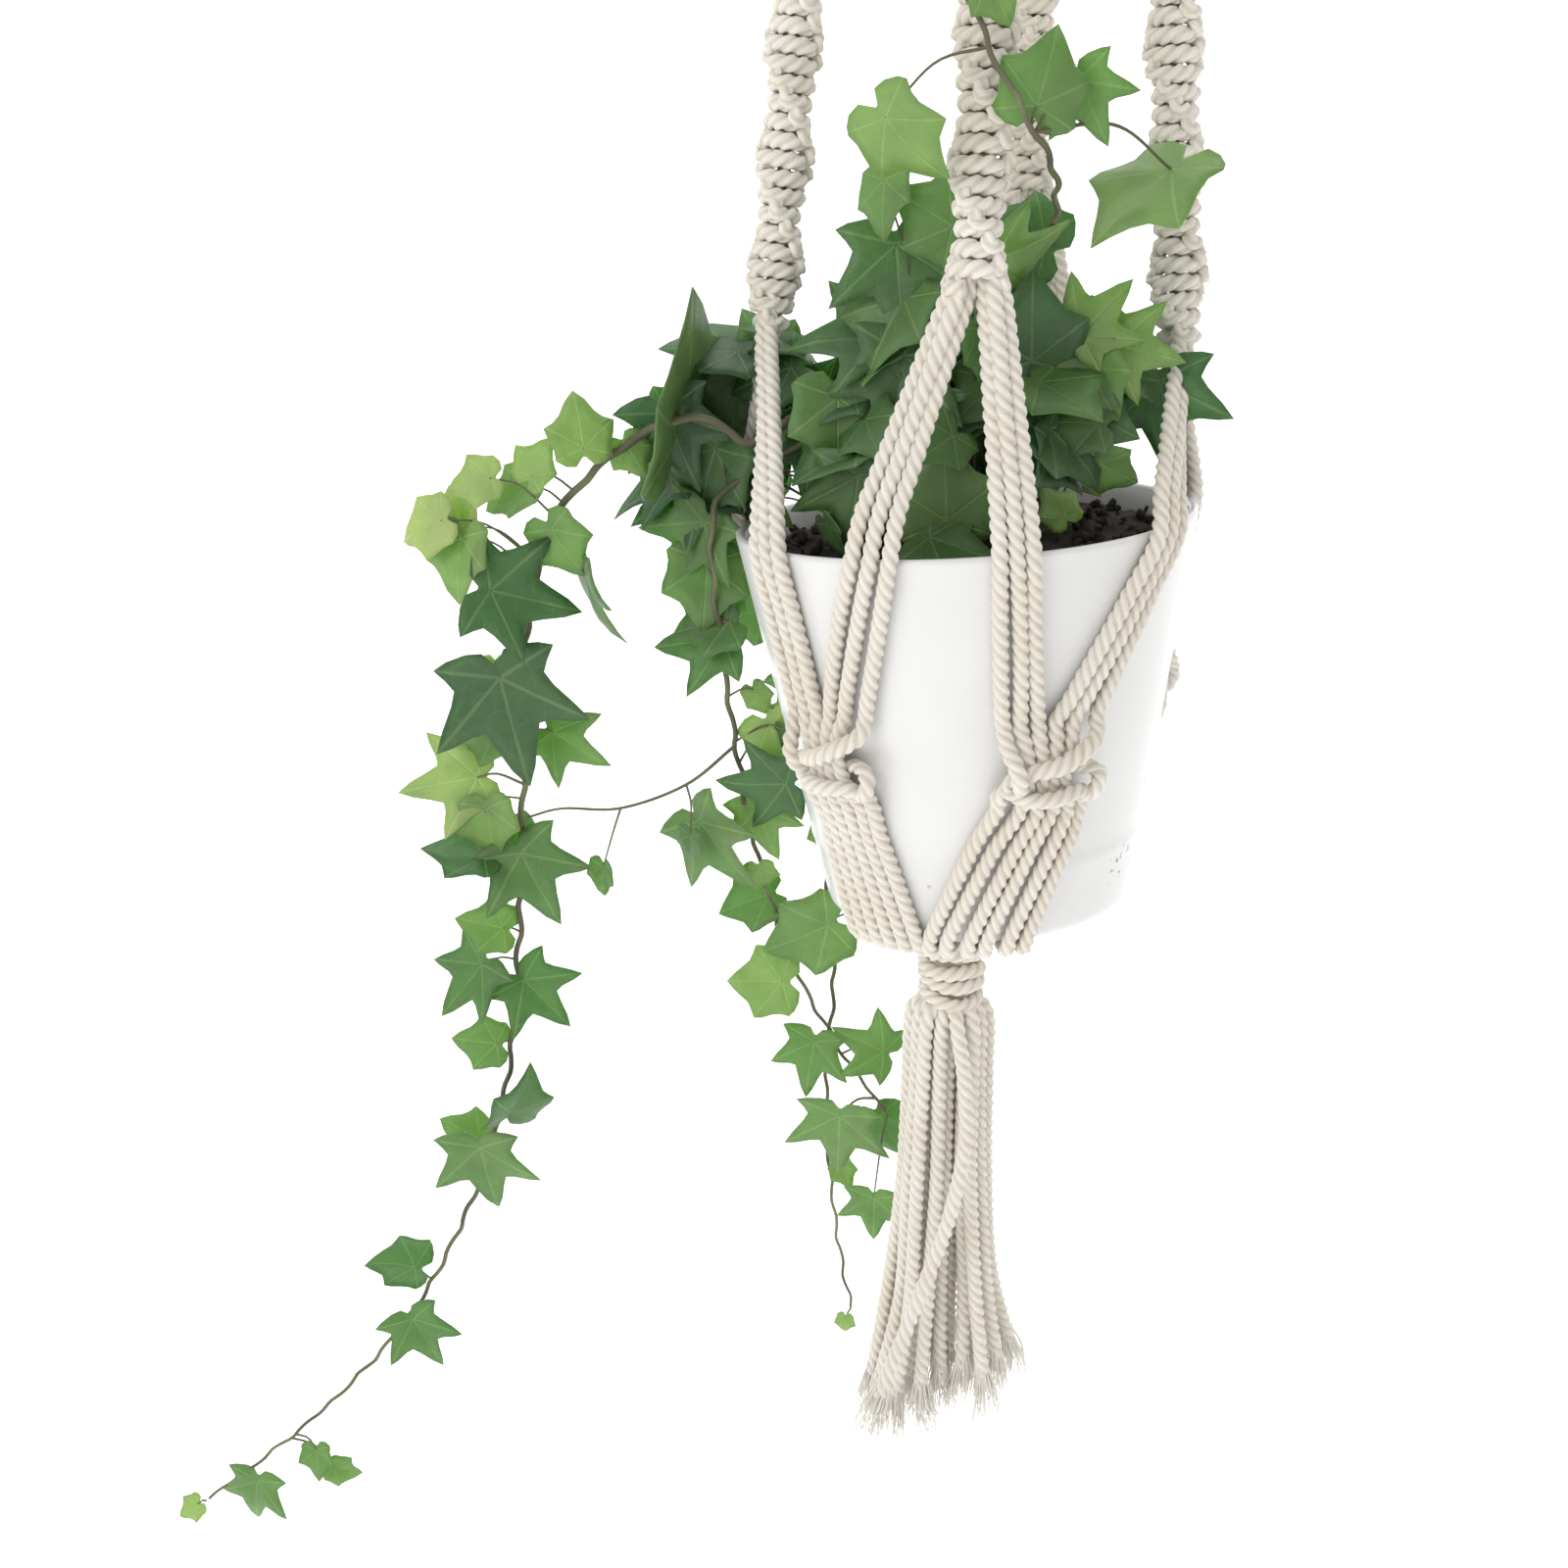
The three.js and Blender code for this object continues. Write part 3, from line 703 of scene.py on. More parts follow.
# The square knot: each cord's way through it, from its left cord to its right one, as millimetres along the
# wall, up it and out of it, and the cord's width. The first cord hangs over both ends of the bars that the
# last one makes, and the four between them run straight through.
SQUARE_KNOT = [
    [(-11, 13, 3.2, 1), (-10, 8.4, 5.8, 1), (-8.2, 3.4, 9.2, 1.05), (-7.6, -1.2, 9.6, 1),
     (-6.4, -4.4, 6.4, 0.9), (-2.6, -3.6, 2.9, 0.8), (3.4, -2.2, 2.6, 0.8), (9, -0.9, 3.8, 0.9),
     (12.6, -2.2, 6.4, 1), (12.8, -5.8, 7.6, 1), (10.4, -8.6, 6, 0.95), (5, -8.4, 2.8, 0.8),
     (-2, -6.2, 2.4, 0.8), (-8.4, -4.4, 3.2, 0.9),
     (-12.2, -6, 4.4, 1), (-12.6, -10, 3.4, 1)],
    [(-6.6, 13, 3, 1), (-5.6, 8, 4.6, 1), (-4.4, 0, 5.6, 0.9), (-6, -9, 4, 0.95), (-7, -13, 2.8, 1)],
    [(-2.2, 13, 3, 1), (-1.8, 8, 4.6, 1), (-1.5, 0, 5.6, 0.9), (-2, -9, 4, 0.95), (-2.2, -13, 2.8, 1)],
    [(2.4, 13, 3, 1), (1.8, 8, 4.8, 1), (1.5, 0, 5.6, 0.9), (1.8, -9, 4, 0.95), (2.2, -13, 2.8, 1)],
    [(6.8, 13, 3, 1), (5.6, 8, 4.6, 1), (4.4, 0, 5.6, 0.9), (5.6, -9, 4, 0.95), (7, -13, 2.8, 1)],
    [(13, 13, 3.4, 1), (11.6, 8.8, 6.4, 1.08), (6.6, 5.2, 9.2, 1.15), (0.6, 2.6, 9.8, 1.15),
     (-5.4, 0.6, 7.4, 1), (-9.6, -1.6, 5.4, 0.9), (-9.4, -5.2, 5.6, 0.9), (-4.4, -6.6, 8.4, 1),
     (1.6, -6.8, 9.2, 1.05),
     (7, -6.4, 7.6, 1), (10.2, -8.6, 4.4, 0.95), (11, -13, 2.9, 1)],
]


def from_arm(arm, end, rim, spread, number, entry, knot):
    """A cord's way from the foot of its arm, over the rim, to where it enters the knot."""
    foot, _, upward = arm_axis(arm)
    side = ARMS[arm]["side"]
    outward = Vector((foot.x, foot.y, 0)).normalized()
    order = 1 if side.dot(sideways(math.degrees(math.atan2(foot.y, foot.x)))) > 0 else -1
    start = foot + upward * 8 + side * (end * 2.6 + order * number * 0.9)
    loose = foot - upward * 1.5 + side * (end * 4.4 + order * number * 2.3)
    loose += outward * (1.5 - 2.2 * abs(number))
    rim_azimuth = rim + math.degrees(number * spread / POT_RIM_RADIUS)
    crest = on_wall(rim_azimuth, POT_HEIGHT + 3.5, 1.6)
    entry_azimuth = knot["azimuth"] + math.degrees(entry[0] / wall_radius(knot["height"]))
    entry_height = knot["height"] + entry[1]
    route = [start, loose, loose.lerp(crest, 0.3), loose.lerp(crest, 0.62), loose.lerp(crest, 0.86)]
    for share in (0, 0.3, 0.62, 0.86):
        height = mix(POT_HEIGHT - 1.5, entry_height, share)
        slack = 0.5 * math.sin(math.pi * share) * math.sin(3 * rim + 2 * number)
        azimuth = mix(rim_azimuth, entry_azimuth, share) + slack
        route.append(on_wall(azimuth, height, mix(ON_GLAZE, entry[2], share**3)))
    return [(*place, 1) for place in route]


def through_knot(number, knot, uneven):
    places = []
    for u, v, out, width in SQUARE_KNOT[number]:
        u += uneven.uniform(-0.4, 0.4)
        v += uneven.uniform(-0.4, 0.4)
        azimuth = knot["azimuth"] + math.degrees(u / wall_radius(knot["height"]))
        places.append((*on_wall(azimuth, knot["height"] + v, out), width))
    return places


def core_place(radius, azimuth, height):
    angle = math.radians(azimuth)
    return above_base(GATHER_X + radius * math.cos(angle), radius * math.sin(angle), height)


def under_base(number, knot):
    """From below the knot down the wall, round the foot of the pot and in to the gather."""
    leave = SQUARE_KNOT[number][-1][1]
    top = knot["azimuth"] + math.degrees(knot["fan"][number] / wall_radius(knot["height"] + leave))
    low = knot["below"] + math.degrees(knot["fan_low"][number] / POT_BASE_RADIUS)
    route = []
    for share in (0.22, 0.45, 0.7, 0.93):
        height = mix(knot["height"] + leave, 0.5, share)
        route.append(on_wall(mix(top, low, share), height, ON_GLAZE))
    route.append(round_pot(POT_BASE_RADIUS + 0.9, low, -1.6))
    edge = round_pot(POT_BASE_RADIUS - 4.5, low, -2.9)
    spread = knot["core"] + (number - 2.5) * 13
    inner = core_place(11.5, spread, -6.6 - 1.4 * (number % 2))
    route += [edge, edge.lerp(inner, 0.35), edge.lerp(inner, 0.7), inner]
    route += [core_place(6.6, spread, -11.5), core_place(4.6, spread, -19)]
    return [(*place, 1) for place in route]


# %% Build the net
for name, knot in NET.items():
    uneven = random.Random(name)
    net_routes = []
    for number in range(6):
        arm, end, rim, spread = knot["from"][number // 3]
        entry = SQUARE_KNOT[number][0]
        net_routes.append(from_arm(arm, end, rim, spread, number % 3 - 1, entry, knot)
                          + through_knot(number, knot, uneven) + under_base(number, knot))
    hidden = [*knot["hides"], f"band_{name}_below", f"knot_{name}"]
    give(rope(f"{name}_net", net_routes, CORD, cotton), "sling", hidden)

# %% [markdown]
# Under the base all twenty-four cords are gathered and wrapped again, this time by hand and less evenly, so
# the turns of the wrap wander and cross a little. One thick rope inside it stands for the cords that it
# hides.

# %% Gather wrap
GATHER_CORE_WIDTH = 14
GATHER_WRAP_Z = (POT_BASE_Z - 40.0, POT_BASE_Z - 13.0)
gather_turns = wrap_route(Vector((GATHER_X, 0, 0)), GATHER_WRAP_Z, 8.2, 5.4, 0.9)
give(rope("gather_wrapping", [gather_turns], CORD * 1.08, cotton), "sling", ["gather_wrap"])
packing = [Vector((GATHER_X, 0, POT_BASE_Z - z)) for z in (14, 24, 34, 46)]
give(rope("gather_core", [packing], GATHER_CORE_WIDTH, cotton, step=3), "sling")

# %% [markdown]
# ## Pot and soil
# The pot is plain and glazed, and widens evenly to a thin rim. It was thrown on a wheel, and a spin is the
# same act: half a section, turned once round the axis. A faint ridge runs round it a little above the base.
# The glaze is white and satin, with a slow waviness, a few specks in it, and a few dark scuffs low down.

# %% Spin the pot
POT_WALL = 3.2
POT_FLOOR = 5.0
RIDGE_HEIGHT = 22.0


def spun(profile, steps):
    work = bmesh.new()
    line = [work.verts.new((radius, 0, height)) for radius, height in profile]
    edges = [work.edges.new(pair) for pair in zip(line, line[1:])]
    bmesh.ops.spin(work, geom=line + edges, cent=(0, 0, 0), axis=(0, 0, 1), angle=2 * math.pi, steps=steps,
                   use_merge=True)
    bmesh.ops.remove_doubles(work, verts=work.verts, dist=1e-3)
    return work


shader = Shader("white_glaze")
where = shader.place()
waviness = shader.noise(where, 28, 4)
clay = shader.ramp(waviness, [(0.35, (0.745, 0.74, 0.73)), (0.65, (0.775, 0.772, 0.764))])
specks = shader.ramp(shader.add("TexVoronoi", {"Vector": where, "Scale": 75}, "Distance"),
                     [(0.035, (0.42, 0.40, 0.38)), (0.06, WHITE)])
scuff_place = on_wall(-33, 15, 0) * MM
from_scuff = shader.add("VectorMath", {0: where, 1: scuff_place}, "Value", operation="DISTANCE")
near_scuff = shader.ramp(from_scuff, [(0.003, WHITE), (0.0065, BLACK)])
scratched = shader.ramp(shader.noise(where, 330, 3), [(0.60, BLACK), (0.63, WHITE)])
scuff = shader.blend("MULTIPLY", 1.0, near_scuff, scratched)
painted = shader.blend("MULTIPLY", 0.5, clay, specks)
glaze = shader.done({
    "Base Color": shader.blend("MIX", scuff, painted, (0.09, 0.08, 0.075, 1)),
    "Normal": shader.bump(waviness, 0.12, 0.002),
    "Roughness": 0.33, "Coat Weight": 0.35, "Coat Roughness": 0.12,
})


def up_the_wall(inwards, heights):
    """Points of the section on the wall, moved inwards from its outer face."""
    return [(wall_radius(height) - inwards, height) for height in heights]


foot = [(0, 0), (30, 0), (42.8, 0), (44.6, 0.4), (45.5, 1.4)]
ridge = [(wall_radius(RIDGE_HEIGHT) + 0.28, RIDGE_HEIGHT),
         (wall_radius(RIDGE_HEIGHT + 1.2) - 0.05, RIDGE_HEIGHT + 1.2)]
lip = [(POT_RIM_RADIUS - inward, POT_HEIGHT - lower)
       for inward, lower in ((0.2, 0.8), (0.7, 0.2), (1.5, 0), (2.2, 0.2), (2.8, 0.9))]
floor = [(wall_radius(POT_FLOOR) - POT_WALL - 1.5, POT_FLOOR), (0, POT_FLOOR)]
pot_profile = [*foot, *up_the_wall(0, (3, 8, 14, RIDGE_HEIGHT - 2)), *ridge,
               *up_the_wall(0, (27, 36, 50, 64, 78, 92, 104, 109, POT_HEIGHT - 1.6)), *lip,
               *up_the_wall(POT_WALL, (POT_HEIGHT - 4, 80, 40, POT_FLOOR + 2)), *floor]
work = spun(pot_profile, 144)
bmesh.ops.transform(work, matrix=pot_place, verts=work.verts)
finish_piece(work, "glazed_pot", glaze, "planted_pot", ["pot"])
print("pot rim", 2 * POT_RIM_RADIUS, "mm across")

# %% [markdown]
# The potting soil fills the pot almost to the rim. Its surface is uneven, and loose crumbs of many sizes
# lie on it.

# %% Soil
SOIL_BELOW_RIM = 7.0
CRUMBS = 420
shader = Shader("potting_soil")
crumble = shader.noise(shader.place(), 420, 6, 0.75)
peat = shader.ramp(crumble, [(0.3, (0.012, 0.009, 0.007)), (0.55, (0.045, 0.032, 0.023)),
                             (0.75, (0.12, 0.09, 0.065))])
earth = shader.done({"Base Color": peat, "Normal": shader.bump(crumble, 0.9, 0.0015), "Roughness": 0.95})

soil_top = POT_HEIGHT - SOIL_BELOW_RIM
soil_edge = wall_radius(soil_top) - POT_WALL - 0.3
soil_profile = [(0, POT_FLOOR + 0.3), (wall_radius(POT_FLOOR) - POT_WALL - 1.9, POT_FLOOR + 0.3),
                (wall_radius(50) - POT_WALL - 0.3, 50), (soil_edge, soil_top - 2)]
for share in (0.95, 0.88, 0.8, 0.7, 0.6, 0.48, 0.36, 0.24, 0.12, 0):
    soil_profile.append((soil_edge * share, soil_top + 2 * (1 - share)))
work = spun(soil_profile, 96)
for vert in work.verts:
    if vert.co.z > soil_top - 1:
        vert.co.z += 2.2 * noise.noise(vert.co * 0.11) + 1.1 * noise.noise(vert.co * 0.35)
bmesh.ops.transform(work, matrix=pot_place, verts=work.verts)
finish_piece(work, "soil_surface", earth, "planted_pot", ["potting_soil"])

work = bmesh.new()
crumbs = random.Random(21)
for _ in range(CRUMBS):
    radius = soil_edge * math.sqrt(crumbs.random()) * 0.97
    azimuth = crumbs.uniform(-180, 180)
    size = crumbs.uniform(0.5, 1.3) + 1.6 * crumbs.random() ** 4
    level = soil_top + 2 * (1 - radius / soil_edge) + 0.4 * size + crumbs.uniform(-0.6, 0.9)
    place = round_pot(radius, azimuth, level)
    turn = Euler([crumbs.uniform(0, 6.28) for _ in range(3)]).to_matrix().to_4x4()
    widths = [crumbs.uniform(*limits) for limits in ((0.8, 1.7), (0.7, 1.2), (0.5, 0.9))]
    shape = Matrix.Translation(place) @ turn @ Matrix.Diagonal((*widths, 1))
    bmesh.ops.create_icosphere(work, subdivisions=1, radius=size, matrix=shape)
finish_piece(work, "soil_crumbs", earth, "planted_pot")

# %% [markdown]
# ## Ivy
# The plant is a common ivy. One vine runs out over the left of the pot and hangs far down, two shorter ones
# hang beside and behind it, and one shoot climbs in front of the front arm. Their bark is brown in places
# and green in others.

# %% Bark
shader = Shader("ivy_stem")
skin = shader.ramp(shader.noise(shader.place(), 60, 5),
                   [(0.35, (0.085, 0.075, 0.045)), (0.55, (0.13, 0.135, 0.065)), (0.72, (0.20, 0.23, 0.11))])
bark = shader.done({"Base Color": skin, "Roughness": 0.6})

# %% [markdown]
# A leaf starts as a circle whose points are moved out to the lobes, given as angle from the tip and distance
# from the stalk. Its edge is extruded inwards in rings to the stalk, so the blade has enough points to
# bend, and then it gets a thin body. Old leaves are stars with five sharp lobes, others are broad, and
# young ones are small and blunt. The flat place of each point is kept as an attribute for the veins.

# %% Leaf shapes
LEAF_HALVES = {
    "star": [(0, 1.0), (7, 0.83), (16, 0.64), (28, 0.52), (38, 0.58), (47, 0.75), (53, 0.88), (60, 0.70),
             (72, 0.50), (86, 0.42), (98, 0.48), (108, 0.60), (118, 0.50), (136, 0.36), (156, 0.26),
             (172, 0.13)],
    "broad": [(0, 1.0), (9, 0.87), (20, 0.75), (32, 0.68), (43, 0.71), (53, 0.78), (62, 0.70), (76, 0.58),
              (90, 0.55), (104, 0.60), (115, 0.55), (132, 0.46), (152, 0.36), (171, 0.16)],
    "young": [(0, 1.0), (12, 0.84), (27, 0.68), (42, 0.66), (56, 0.74), (70, 0.60), (88, 0.50), (108, 0.52),
              (130, 0.44), (152, 0.34), (171, 0.15)],
}
LEAF_BODY = 0.012  # thickness, against the leaf's length
LENGTH_OF_SPAN = 0.74  # a blade's length, against its span over the lobes


def leaf_template(kind):
    half = LEAF_HALVES[kind]
    outline = half + [(-angle, reach) for angle, reach in reversed(half[1:])]
    work = bmesh.new()
    flat = work.verts.layers.float_vector.new("blade")
    ring = bmesh.ops.create_circle(work, segments=len(outline), radius=1)["verts"]
    for vert, (angle, reach) in zip(ring, outline):
        turn = math.radians(angle)
        vert.co = (reach * math.cos(turn), reach * math.sin(turn), 0)
    edges = work.edges[:]
    inward = 1.0
    for share in (0.7, 0.4, 0.0):
        grown = bmesh.ops.extrude_edge_only(work, edges=edges)["geom"]
        verts = [item for item in grown if isinstance(item, bmesh.types.BMVert)]
        edges = [item for item in grown if isinstance(item, bmesh.types.BMEdge)]
        edges = [edge for edge in edges if edge.verts[0] in verts and edge.verts[1] in verts]
        if share:
            bmesh.ops.scale(work, vec=(share / inward,) * 3, verts=verts)
            inward = share
        else:
            bmesh.ops.pointmerge(work, verts=verts, merge_co=(0, 0, 0))
    for vert in work.verts:
        vert[flat] = vert.co.copy()
    bmesh.ops.recalc_face_normals(work, faces=work.faces)
    if sum(face.normal.z for face in work.faces) < 0:
        bmesh.ops.reverse_faces(work, faces=work.faces)
    bmesh.ops.solidify(work, geom=work.faces[:], thickness=LEAF_BODY)
    bmesh.ops.recalc_face_normals(work, faces=work.faces)
    mesh = mesh_from(work, f"{kind}_leaf", 1)
    print(kind, "leaf:", len(mesh.polygons), "faces")
    return mesh


leaf_meshes = {kind: leaf_template(kind) for kind in LEAF_HALVES}

# %% [markdown]
# Ivy leaves are dark and waxy when old, yellow-green when young, and always paler along the veins. Five main
# veins run from the stalk to the lobes. A vein is where the distance to its line is small, which two dot
# products give, and the part behind the stalk is pushed away so that only the forward half is drawn.

# %% Leaf material
VEIN_ANGLES = (0, 53, -53, 108, -108)
shader = Shader("ivy_leaf")
blade = shader.attribute("blade", "Vector")


def along_blade(direction):
    return shader.add("VectorMath", {0: blade, 1: direction}, "Value", operation="DOT_PRODUCT")


from_veins = None
for degrees in VEIN_ANGLES:
    angle = math.radians(degrees)
    beside_line = shader.maths("ABSOLUTE", along_blade((-math.sin(angle), math.cos(angle), 0)))
    backward = shader.maths("MULTIPLY", along_blade((math.cos(angle), math.sin(angle), 0)), -3.0)
    distance = shader.maths("ADD", beside_line, shader.maths("MAXIMUM", backward, 0.0))
    from_veins = distance if from_veins is None else shader.maths("MINIMUM", from_veins, distance)
wander = shader.maths("SUBTRACT", shader.noise(blade, 3.5), 0.5)
from_veins = shader.maths("ADD", from_veins, shader.maths("MULTIPLY", wander, 0.03))
vein = shader.ramp(from_veins, [(0.003, WHITE), (0.022, BLACK)])
side_veins = shader.add("TexVoronoi", {"Vector": blade, "Scale": 5.5}, "Distance", feature="DISTANCE_TO_EDGE")
fine_vein = shader.ramp(side_veins, [(0.0, (0.35, 0.35, 0.35)), (0.035, BLACK)])
age = shader.ramp(shader.attribute("tone"), [(0, (0.034, 0.086, 0.036)), (0.3, (0.072, 0.152, 0.046)),
                                             (0.6, (0.155, 0.26, 0.075)), (1, (0.36, 0.45, 0.16))])
cloud = shader.ramp(shader.noise(shader.place(), 90, 4), [(0.3, (0.72, 0.76, 0.7)), (0.7, (1.12, 1.1, 1.0))])
green = shader.blend("MULTIPLY", 0.8, age, cloud)
pale = shader.blend("ADD", 0.55, green, (0.10, 0.13, 0.06, 1))
green = shader.blend("MIX", fine_vein, green, pale)
green = shader.blend("MIX", vein, green, pale)
all_veins = shader.blend("ADD", 1.0, vein, fine_vein)
leaf_skin = shader.done({
    "Base Color": green, "Normal": shader.bump(all_veins, 0.35, 0.0006, invert=True), "Roughness": 0.48,
    "Subsurface Weight": 0.25, "Subsurface Radius": (0.0015, 0.003, 0.0008), "Subsurface Scale": 0.6,
})

# %% [markdown]
# A leaf is placed by the middle of its blade, the way its tip points and the way it faces. Then each one is
# folded along its midrib, drooped at the tip and waved at the edge by its own amounts.

# %% Place leaves
WIDE_STALK = (1.05, 0.7)  # widths at the root and at the blade
THIN_STALK = (0.8, 0.5)
LONG_BLADE = 24


class Foliage:
    """The leaves of one vine, and their stalks."""

    def __init__(self, seed):
        self.work = bmesh.new()
        self.work.verts.layers.float_vector.new("blade")
        self.work.verts.layers.float.new("tone")
        self.stalks = []
        self.chance = random.Random(seed)

    def leaf(self, middle, tip_way, facing, span, kind, tone, stalk_from=None):
        chance = self.chance
        size = span * LENGTH_OF_SPAN
        tip = Vector(tip_way).normalized()
        face = Vector(facing)
        face = (face - tip * face.dot(tip)).normalized()
        across = face.cross(tip)
        base = Vector(middle) - tip * size * 0.3
        before = len(self.work.verts)
        self.work.from_mesh(leaf_meshes[kind])
        self.work.verts.ensure_lookup_table()
        tone_layer = self.work.verts.layers.float["tone"]
        fold = chance.uniform(0.02, 0.34)
        droop = chance.uniform(0.0, 0.35)
        wave = chance.uniform(0.015, 0.06)
        phase = chance.uniform(0, 6.28)
        twist = chance.uniform(-0.25, 0.25)
        shade = min(1, max(0, tone + chance.uniform(-0.06, 0.06)))
        for vert in self.work.verts[before:]:
            x, y, z = vert.co
            reach = math.hypot(x, y)
            z += fold * abs(y) - droop * reach * reach * (0.4 + 0.6 * max(0, x)) + twist * x * y
            z += wave * reach * math.sin(5 * math.atan2(y, x) + phase)
            vert.co = base + (tip * x + across * y + face * z) * size
            vert[tone_layer] = shade
        if stalk_from is not None:
            root = Vector(stalk_from)
            middle_way = root.lerp(base, 0.55) + Vector((0, 0, 0.16 * (base - root).length)) - face * 1.2
            self.stalks.append(([root, middle_way, base], *(WIDE_STALK if size > LONG_BLADE else THIN_STALK)))

    def done(self, name, hides=()):
        give(finished(name, mesh_from(self.work, name), leaf_skin), "planted_pot", hides)
        print(name, "has", len(self.stalks), "stalks")
        return self.stalks


def heading(degrees, depth=0.0):
    """A direction in the upright plane that runs left to right, turned up from the right by the angle."""
    return Vector((math.cos(math.radians(degrees)), depth, math.sin(math.radians(degrees))))


def facing(tip, lean):
    """The way a blade faces: to the front and a little up, rolled about its midrib by the lean."""
    start = Vector((0, -1, 0.3))
    return Matrix.Rotation(math.radians(lean), 3, tip) @ start


# %% [markdown]
# Every vine is a route and a list of leaves: how far along the stem the stalk starts, where the middle of the
# blade lies from there, where its tip points, how far it is rolled, its span, its kind and its tone.

